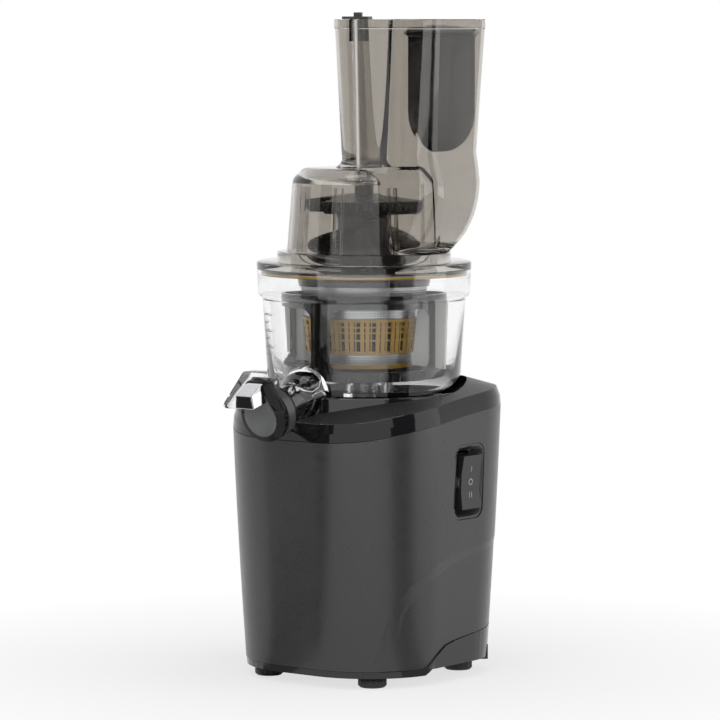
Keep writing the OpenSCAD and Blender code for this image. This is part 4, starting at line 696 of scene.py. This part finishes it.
# Half way through the dome's wall, where the tower's own body ends
DOME_MIDDLE = [(0, 300), (55.8, 300), (55.8, 314), (51.8, 364.6), (42, 374), (0, 374.1)]
DOME_TOP, MOUTH, RING_TOP, DOME_H, LID_WALL_T = 375.3, 484.3, 313.8, 61.5, 2.4
CHUTE_HEIGHT = [0, 0.09, 0.18, 0.27, 0.37, 0.46, 0.56, 0.66, 0.76, 0.86, 1.04, 1.2]
CHUTE_REACH = [0.743, 0.808, 0.86, 0.902, 0.932, 0.953, 0.972, 0.984, 0.99, 0.989, 0.963, 0.94]
CHUTE_DEPTH = [0.8, 0.83, 0.86, 0.885, 0.905, 0.92, 0.93, 0.94, 0.945, 0.95, 0.955, 0.955]
CHUTE_CORNER = [2, 1.95, 1.9, 1.8, 1.7, 1.6, 1.55, 1.5, 1.45, 1.4, 1.25, 1.2]
MOUTH_NEAR, MOUTH_FAR, MOUTH_HALF, MOUTH_CORNER = 12, 88.6, 35.6, 10
# Rim of the mouth, as (height, how far it stands out)
MOUTH_STEPS = [(-7, 0), (-6.6, 0.4), (-0.5, 0.4), (0, -0.1)]


def wrapped(name, columns, rows, place):
    """A grid wrapped round the vertical axis: place(column, row) gives each point in millimetres."""
    bpy.ops.mesh.primitive_grid_add(x_subdivisions=columns, y_subdivisions=rows, size=2, location=(0, 0, 0))
    piece = bpy.context.object
    piece.name = name
    for vertex in piece.data.vertices:
        column, row = round((vertex.co.x + 1) / 2 * columns), round((vertex.co.y + 1) / 2 * rows)
        vertex.co = Vector(place(column % columns, row)) * MM
    editing(piece, merged, outwards)
    return piece


def stack(name, rings):
    """A closed block through a stack of rings with equal numbers of points."""
    piece = wrapped(name, len(rings[0]), len(rings) - 1, lambda column, row: rings[row][column])
    editing(piece, lambda: bpy.ops.mesh.fill_holes(sides=0), outwards)
    return piece


def chute_ring(z, reach, depth, corner, inset):
    """A ring of the chute, by its shares of the mouth's reach, depth and corners."""
    near, far = MOUTH_NEAR + inset, MOUTH_FAR * reach - inset
    half = MOUTH_HALF * depth - inset
    plan = rounded(near, far, -half, half, MOUTH_CORNER * corner - inset, 12)
    return [(x, y, z) for x, y in plan]


def chute(name, inset, start):
    shares = zip(CHUTE_HEIGHT, CHUTE_REACH, CHUTE_DEPTH, CHUTE_CORNER)
    rings = [chute_ring(RING_TOP + DOME_H * h, reach, depth, corner, inset)
             for h, reach, depth, corner in shares]
    rings[0] = [(x, y, start) for x, y, _ in rings[0]]
    if inset:
        return stack(name, rings + [chute_ring(MOUTH + 1, 1, 1, 1, inset)])
    return stack(name, rings + [chute_ring(MOUTH + up, 1, 1, 1, -out) for up, out in MOUTH_STEPS])


SLIM_TUBE = [
    (0, 371), (20.9, 371), (21, 375.3), (18.6, 377.3), (17, 379.3), (16.3, 381.3), (21.4, 477.2),
    (22.2, 477.7), (22.2, 483.7), (21.8, 484.1), (0, 484.1),
]
SLIM_WAY = [(0, DOME_TOP + 0.05), (13.6, DOME_TOP + 0.05), (19.4, MOUTH), (19.45, MOUTH + 1), (0, MOUTH + 1)]
lid = chute("lid_and_tower", 0, RING_TOP - 0.4)
carve(lid, turned("slim_tube", SLIM_TUBE, 96), "UNION")
carve(lid, turned("dome_middle", DOME_MIDDLE, 120))
carve(lid, turned("lid_wall", LID_WALL, 144), "UNION")
carve(lid, chute("chute_way", LID_WALL_T, RING_TOP + LID_WALL_T))
carve(lid, turned("slim_way", SLIM_WAY, 96))
print("lid and tower faces:", len(lid.data.polygons))

# %% [markdown]
# Inside the dome, pairs of thin ribs stand up the wall. They keep the smoked plastic stiff where the lid
# is turned to lock, and show in the picture as short dark pairs of lines. A rib is a flat block with
# bevelled edges, turned into its place. All are welded on, so that no wall shows inside them.

# %% Ribs of the dome
RIB_TURNS = [-25, -31, -71, -77, -107, -114, -152, 115, 70]
RIB_SIZE, RIB_BEVEL = (5, 1.1, 48), 0.3
RIB_PLACE = (51.5, 0, 338)
RIB_LEAN = math.radians(-4.6)


def rib(turn):
    leaning = Matrix.Translation(Vector(RIB_PLACE) * MM) @ Matrix.Rotation(RIB_LEAN, 4, "Y")
    return put(block("dome_rib", RIB_SIZE, RIB_BEVEL), Matrix.Rotation(math.radians(turn), 4, "Z") @ leaning)


ribs = [rib(turn) for turn in RIB_TURNS]
only(ribs[0])
for piece in ribs:
    piece.select_set(True)
bpy.ops.object.join()
carve(lid, ribs[0], "UNION")
smooth(lid, 30)
settle(lid, "lid", "smoked_plastic", nodes=("lid_dome", "feed_tower"))
print("ribs:", len(RIB_TURNS), "faces now:", len(lid.data.polygons))

# %% [markdown]
# ## Strainer
#
# The strainer is a steel cone with rows of fine holes, and a gold band of plastic with slots round its
# middle. The holes are real here: a fine grid is wrapped to the cone, each face gets an inset, and the
# inner faces are deleted. Solidify then gives the sheet its thickness, through the holes as well.

# %% Strainer wall
STRAINER_Z, STRAINER_H, STRAINER_FOOT, STRAINER_TOP = 228, 62, 40, 46.6
MESH_COLUMNS, MESH_ROWS = 132, 33
BELT = (240.6, 264)


def strainer_radius(z):
    return STRAINER_FOOT + (STRAINER_TOP - STRAINER_FOOT) * (z - STRAINER_Z) / STRAINER_H


def on_cone(turn, z, out):
    r = strainer_radius(z) + out
    return (r * math.cos(turn), r * math.sin(turn), z)


def open_up(piece, chosen):
    """Deletes the faces that a test chooses."""
    only(piece)
    bpy.ops.object.mode_set(mode="EDIT")
    bpy.ops.mesh.select_mode(type="FACE")
    bpy.ops.mesh.select_all(action="DESELECT")
    bpy.ops.object.mode_set(mode="OBJECT")
    for face in piece.data.polygons:
        face.select = chosen(face)
    bpy.ops.object.mode_set(mode="EDIT")
    bpy.ops.mesh.delete(type="FACE")
    bpy.ops.mesh.select_mode(type="VERT")
    bpy.ops.object.mode_set(mode="OBJECT")


wall = wrapped("strainer_wall", MESH_COLUMNS, MESH_ROWS, lambda column, row: on_cone(
    2 * math.pi * column / MESH_COLUMNS, STRAINER_Z + STRAINER_H * row / MESH_ROWS, 0))
# After an inset, the shrunk faces are the selected ones.
open_up(wall, lambda face: BELT[0] < face.center.z / MM < BELT[1])
editing(wall, lambda: bpy.ops.mesh.inset(thickness=0.00048, use_individual=True),
        lambda: bpy.ops.mesh.delete(type="FACE"))
modify(wall, "SOLIDIFY", thickness=0.0004, offset=-1)
smooth(wall, 20)
settle(wall, "bowl", "mesh_steel", nodes=("strainer_mesh",))
print("strainer wall faces:", len(wall.data.polygons))

# %% [markdown]
# The gold band has 24 wide windows round it, with two narrow slots between one and the next, in four
# rows of unequal height. It is the same trick with an uneven grid: the lines of the grid stand where the
# edges of the slots are, and the faces in the slots are deleted. A foot ring and a top flange, both
# turned, belong to the same frame.

# %% Gold band
# One sector's columns: wide window, narrow slot and the bars between them
SECTOR = "WWWbbbsbbbsb"
BAND_LEVELS = [238.9, 240.5, 249.1, 250.3, 254.9, 256, 259.2, 260.2, 263.4, 265.7]
OPEN_ROWS = (1, 3, 5, 7)
SECTORS = 24
band = wrapped("strainer_band", SECTORS * len(SECTOR), len(BAND_LEVELS) - 1, lambda column, row: on_cone(
    2 * math.pi * column / SECTORS / len(SECTOR), BAND_LEVELS[row], 1.5))


def in_slot(face):
    height = face.center.z / MM
    row = sum(1 for level in BAND_LEVELS[1:-1] if height > level)
    turn = math.degrees(math.atan2(face.center.y, face.center.x)) % 360
    column = int(turn / (360 / SECTORS) * len(SECTOR)) % len(SECTOR)
    return row in OPEN_ROWS and SECTOR[column] != "b"


open_up(band, in_slot)
modify(band, "SOLIDIFY", thickness=0.0012, offset=-1)
smooth(band, 30)
settle(band, "bowl", "amber_plastic", nodes=("strainer_frame",))
EDGE_RING = [(75.9, 296.9), (76.15, 296.9), (76.15, 298.7), (75.9, 298.7)]
FLANGE = [
    (46.7, 290.2), (48, 290), (49.4, 296.8), (75.9, 296.8), (75.9, 298.8), (48, 298.8), (45.9, 296.8),
    (45.9, 290.4),
]
FOOT_RING = [(40.1, 228), (41.5, 228), (41.8, 231), (40.5, 231)]
RINGS = [
    ("strainer_flange", FLANGE, dark_smoke), ("strainer_foot_ring", FOOT_RING, None),
    ("strainer_edge_ring", EDGE_RING, None),
]
for name, outline, finish in RINGS:
    ring = turned(name, outline, 144)
    smooth(ring, 30)
    settle(ring, "bowl", "amber_plastic", finish)
print("band faces:", len(band.data.polygons))

# %% [markdown]
# ## Housing
#
# The housing is the form that catches the eye: a shell with rounded corners, wider at the top, with an
# arch cut into its foot. A line sweeps up from the front foot and runs off to the right, and the side
# panel under it lies a little deeper. A grid is wrapped round the body, and its rows are laid so that
# two of them run exactly along the edges of that swept step. Between them the wall slants inwards.

# %% Housing skin
FOOT_Z, TOP_Z, SIDE_BOW, HOUSING_WALL = 8, 200.5, 0.8, 2.6
CORNER_STEPS, SIDE_STEPS = 32, 8
FOOT_HALF, TOP_HALF = 80, 88.5
EDGE_LOW, EDGE_RISE, ARCH_LOW, ARCH_RISE = 179.5, 21, 13, 25
EDGE_CURVE = ([-1, -0.85, -0.68, -0.45, 0.09, 0.57, 1], [0, 0.12, 0.31, 0.48, 0.79, 0.98, 1])
ARCH_CURVE = ([-1, -0.42, -0.35, -0.28, -0.19, -0.08, 0, 0.25, 0.75, 1],
              [0, 0, 0.03, 0.16, 0.42, 0.6, 0.67, 0.78, 0.95, 1])


def lookup(value, places, levels):
    """Straight lines between given points of a curve."""
    value = min(max(value, places[0]), places[-1])
    k = max(i for i in range(len(places) - 1) if places[i] <= value)
    return levels[k] + (levels[k + 1] - levels[k]) * (value - places[k]) / (places[k + 1] - places[k])


def body_plan(half, front_r, back_r):
    """A square plan with round corners, as a ring of points."""
    corners = ((1, 1, back_r, 0), (-1, 1, back_r, 90), (-1, -1, front_r, 180), (1, -1, front_r, 270))
    arcs = [[(sx * (half - r) + r * math.cos(math.radians(first + 90 * i / CORNER_STEPS)),
              sy * (half - r) + r * math.sin(math.radians(first + 90 * i / CORNER_STEPS)))
             for i in range(CORNER_STEPS + 1)] for sx, sy, r, first in corners]
    points = []
    for k, arc in enumerate(arcs):
        (ax, ay), (bx, by) = arc[-1], arcs[(k + 1) % 4][0]
        points += arc + [(ax + (bx - ax) * s / SIDE_STEPS, ay + (by - ay) * s / SIDE_STEPS)
                         for s in range(1, SIDE_STEPS)]
    return points


foot_plan, top_plan = body_plan(FOOT_HALF, 62, 51), body_plan(TOP_HALF, 66, 56)
COLUMNS = len(top_plan)


def skin_point(i, z, inset=0):
    """A point of the housing's skin: the plan widens upwards, and the sides bow out a little."""
    t = (z - FOOT_Z) / (TOP_Z - FOOT_Z)
    x, y = (a + (b - a) * t for a, b in zip(foot_plan[i], top_plan[i]))
    reach = SIDE_BOW * 4 * t * (1 - t) - inset
    far = math.hypot(x, y)
    return (x + reach * x / far, y + reach * y / far, z)


def edge_z(y):
    """Height of the housing's upper edge, which climbs from the front to the back."""
    return EDGE_LOW + EDGE_RISE * lookup(y / TOP_HALF, *EDGE_CURVE)


def arch_z(y):
    """Height of the housing's foot, with the arch in it."""
    return ARCH_LOW + ARCH_RISE * lookup(y / FOOT_HALF, *ARCH_CURVE)


print("columns:", COLUMNS)

# %% [markdown]
# The two edges of the step are given by the turn round the body and the height, as read on the picture.
# Behind the right side the step fades out. On the left and the back there is no step, and the rows
# simply share out the height.

# %% Swept step
STEP_DEPTH = 1.5
UPPER = ([-180, -75, -48.5, -45.3, -40.6, -31, -13.1, 10, 42.4, 100, 180],
         [90, 60, 13, 33.6, 58.1, 75.6, 91.5, 96.8, 103, 107, 90])
LOWER = ([-180, -75, -38.6, -38.4, -34.2, -24.5, -7.4, 10, 42.4, 100, 180],
         [84, 54, 13, 14.9, 54.1, 73.3, 84.7, 90.9, 99, 103, 84])
FADE = ([-180, -49, -41, -5, 37, 90, 180], [0, 0, 1, 1, 0.35, 0, 0])
PANEL_ROWS, STEP_ROWS, SKIN_ROWS = 12, 2, 14
turns = [math.degrees(math.atan2(y, x)) for x, y in top_plan]


def housing_point(column, row):
    low, high = arch_z(foot_plan[column][1]), edge_z(top_plan[column][1])
    upper = max(low, lookup(turns[column], *UPPER))
    lower = max(low, min(upper, lookup(turns[column], *LOWER)))
    deep = STEP_DEPTH * lookup(turns[column], *FADE)
    if row <= PANEL_ROWS:
        return skin_point(column, low + (lower - low) * row / PANEL_ROWS, deep)
    if row <= PANEL_ROWS + STEP_ROWS:
        share = (row - PANEL_ROWS) / STEP_ROWS
        return skin_point(column, lower + (upper - lower) * share, deep * (1 - share))
    return skin_point(column, upper + (high - upper) * (row - PANEL_ROWS - STEP_ROWS) / SKIN_ROWS)


housing = wrapped("housing_shell", COLUMNS, PANEL_ROWS + STEP_ROWS + SKIN_ROWS, housing_point)
modify(housing, "SOLIDIFY", thickness=HOUSING_WALL * MM, offset=-1)
SWITCH_PLACE, SWITCH_TURN = (86.94, 13, 147), math.radians(92.528)
RECESS_DEPTH = 24
switch_frame = Matrix.Translation(Vector(SWITCH_PLACE) * MM) @ Matrix.Rotation(SWITCH_TURN, 4, "Y")
recess = prism("recess", rounded(-27.8, 27.8, -18.3, 18.3, 8), RECESS_DEPTH)
carve(housing, put(recess, switch_frame @ Matrix.Translation((0, 0, -RECESS_DEPTH / 2 * MM))))
smooth(housing, 6)
settle(housing, "base", "dark_housing", nodes=("housing",))
print("housing faces:", len(housing.data.polygons))

# %% [markdown]
# ## Deck
#
# The glossy deck closes the housing. Two slanting facets run round its rim, the sloped top rises from
# them, and the round plinth for the bowl stands in it. Each facet takes two rows of a grid that has the
# housing's own columns. The rings are stacked into a block, and a smaller block hollows it. The seat and
# the turned plinth are welded on before the ways for the spout, the pulp and the shaft are cut.

# %% Deck body
PLINTH_R, PLINTH_FOOT, PLINTH_TOP, PLINTH_WALL, PLINTH_EDGE = 74, 189.5, 210.7, 3, 0.8
RECESS_R, SEAT_RING_R, HUB_R, HUB_FOOT, SEAL_R = 76, 79, 15, 199.7, 12
TROUGH_R, TROUGH_END, COLLAR_ROOM_R, COLLAR_ROOM_END = 15.5, 61.2, 19.5, 12.5
CHANNEL_WIDE, CHANNEL_END, MIDDLE_INSET = 35, -130, 70
# Cuts and joints keep clear of level faces by this much, and reach over the deck up to this height.
CLEAR, OVER = 0.02, 260


def deck_ring(rise, inset):
    """A ring that follows the housing's climbing edge."""
    points = []
    for i in range(COLUMNS):
        x, y, _ = skin_point(i, edge_z(top_plan[i][1]), inset)
        points.append((x, y, edge_z(y) + rise))
    return points


def level_ring(z, inset):
    return [skin_point(i, z, inset) for i in range(COLUMNS)]


def crown(first, last, steps=7):
    """The sloped top from its edge inwards, as (rise, inset)."""
    return [(first[0] + (last[0] - first[0]) * k / steps, first[1] + (last[1] - first[1]) * k / steps)
            for k in range(steps + 1)]


PLINTH = [
    (0, PLINTH_FOOT + 0.1), (PLINTH_R, PLINTH_FOOT + 0.1), (PLINTH_R, PLINTH_TOP - PLINTH_EDGE),
    (PLINTH_R - PLINTH_EDGE, PLINTH_TOP), (0, PLINTH_TOP),
]
CHANNEL = [(CHANNEL_END, PLINTH_TOP + CLEAR), (CHANNEL_END, OVER), (0, OVER), (0, PLINTH_TOP + CLEAR)]
# The deck's outer and inner side, as (rise over the housing's edge, inset)
OUTSIDE = [(0.3, 0), (3.4, 0.3), (6.5, 0.6), (9.7, 1.8), (12.6, 2.85)] + crown((13, 3.3), (22, 34))
HOLLOW = [(8, 5.8), (10.4, 6.4)] + crown((10.6, 7), (19.4, 37))


def deck_block(name, profile, low, low_inset, middle):
    """A block up to the sloped top, closed by a level ring near the middle."""
    rings = [level_ring(low, low_inset)] + [deck_ring(rise, inset) for rise, inset in profile]
    return stack(name, rings + [level_ring(middle, MIDDLE_INSET)])


deck = deck_block("deck", OUTSIDE, 178, 2.9, 200)
carve(deck, deck_block("deck_hollow", HOLLOW, 170, 5.8, 190))
seat_wall = deck_block("seat_wall", OUTSIDE, 178, 2.9, 200)
carve(seat_wall, column("seat_reach", SEAT_RING_R, PLINTH_FOOT, 240), "INTERSECT")
carve(deck, seat_wall, "UNION")
carve(deck, turned("plinth", PLINTH, 144), "UNION")
carve(deck, column("plinth_hollow", PLINTH_R - PLINTH_WALL, 160, PLINTH_TOP - PLINTH_WALL))
carve(deck, column("shaft_hub", HUB_R, HUB_FOOT, PLINTH_TOP - 1), "UNION")
carve(deck, column("recess_cut", RECESS_R, PLINTH_TOP + CLEAR, OVER, 144))
carve(deck, across("pulp_channel", CHANNEL, CHANNEL_WIDE))
carve(deck, rod("trough_cut", TROUGH_R, -30, TROUGH_END))
carve(deck, rod("collar_room", COLLAR_ROOM_R, -60, COLLAR_ROOM_END))
carve(deck, column("seal_bore", SEAL_R, 190, 230, 64))
smooth(deck, 8)
settle(deck, "base", "black_gloss", deck_gloss, ("top_deck",))
print("deck faces:", len(deck.data.polygons))

# %% [markdown]
# ## Cap lever
#
# The lever of the spout's cap is the one bright piece: a chromed wedge that widens downwards, with a flat
# black inlay on its front. Five rectangles, stacked upwards in the spout's own frame, give the wedge, and
# its edges are rounded so that each of them catches the light.

# %% Cap lever
LEVER_SEAT = 8.4
# Each ring as (height, half width, back, front), the last two outwards from the cap's face
LEVER_RINGS = [
    (12.2, 8.5, 0.05, 15), (18.6, 7.7, 0.05, 14.3), (18.8, 7.65, -1.35, 14.2), (22, 7.1, -1.35, 13.8),
    (26.2, 6.8, -1.35, 2.4),
]
INLAY_RINGS = [(13.1, 6.9, 14.4, 15.1), (21.1, 5.8, 13.5, 14.2)]


def wedge(name, rows):
    rings = [[(x, y, LEVER_SEAT + t) for x, t in ((-wide, back), (wide, back), (wide, front), (-wide, front))]
             for y, wide, back, front in rows]
    piece = put(stack(name, rings), spout_frame)
    editing(piece, outwards)
    return piece


lever = wedge("lever_wedge", LEVER_RINGS)
modify(lever, "BEVEL", width=0.5 * MM, segments=2, limit_method="ANGLE", angle_limit=math.radians(25))
settle(lever, "cap", "lever_chrome", nodes=("cap_lever",))
settle(wedge("lever_inlay", INLAY_RINGS), "cap", "black_plastic", ring_black)
print("lever volume:", round(volume(lever), 2))

# %% [markdown]
# ## Marks
#
# The rocker carries three plain marks for its positions: one bar, a ring and two bars. They are thin
# raised prints, as a pad printer leaves them, and tilt with the rocker. On the bowl's left a column of
# level lines, long and short by turns, lies on the clear wall. No figure or word goes with them.

# %% Marks on the rocker and the bowl
ROCKER_RISE, ROCKER_FLAT, ROCKER_TIP = 1.2, 6.57, math.radians(7.8)
MARK_SIZE, MARK_BEVEL = (4.2, 0.8, 0.24), 0.072


def on_rocker(along, aside=0.0):
    """Place on the rocker's face, in the frame of the switch."""
    high = ROCKER_RISE + max(0.0, abs(along) - ROCKER_FLAT) * math.tan(ROCKER_TIP)
    tip = 0 if abs(along) < ROCKER_FLAT else math.copysign(ROCKER_TIP, -along)
    return (switch_frame @ Matrix.Translation(Vector((along, aside, high)) * MM)
            @ Matrix.Rotation(tip, 4, "Y"))


marks = [("mark_one", -9.5, 0), ("mark_two_left", 9.5, -1.3), ("mark_two_right", 9.5, 1.3)]
for name, along, aside in marks:
    bar = put(block(name, MARK_SIZE, MARK_BEVEL), on_rocker(along, aside))
    settle(bar, "rocker", "grey_plastic", mark_print)
ring = put(turned("mark_ring", [(1.7, -0.1), (2.5, -0.1), (2.5, 0.14), (1.7, 0.14)], 48), on_rocker(0))
smooth(ring)
settle(ring, "rocker", "grey_plastic", mark_print)
TICKS = [(268, 16), (262, 8), (256, 16), (250, 8), (244, 16), (238, 8)]
TICKS_START = -134
TICK_HALF, TICK_THICK = 0.3, 0.16
for k, (z, wide) in enumerate(TICKS):
    r = 71 + 4 * (z - 215) / 63.6
    low, high, out = z - TICK_HALF, z + TICK_HALF, r + TICK_THICK
    line = turned("level_line_" + str(k + 1), [(r, low), (out, low), (out, high), (r, high)], 12, wide)
    middle = sum((v.co for v in line.data.vertices), Vector()) / len(line.data.vertices)
    line_turn = math.radians(TICKS_START + wide / 2) - math.atan2(middle.y, middle.x)
    settle(put(line, Matrix.Rotation(line_turn, 4, "Z")), "bowl", "grey_plastic", mark_print)
print("marks:", len(marks) + 1, "level lines:", len(TICKS))
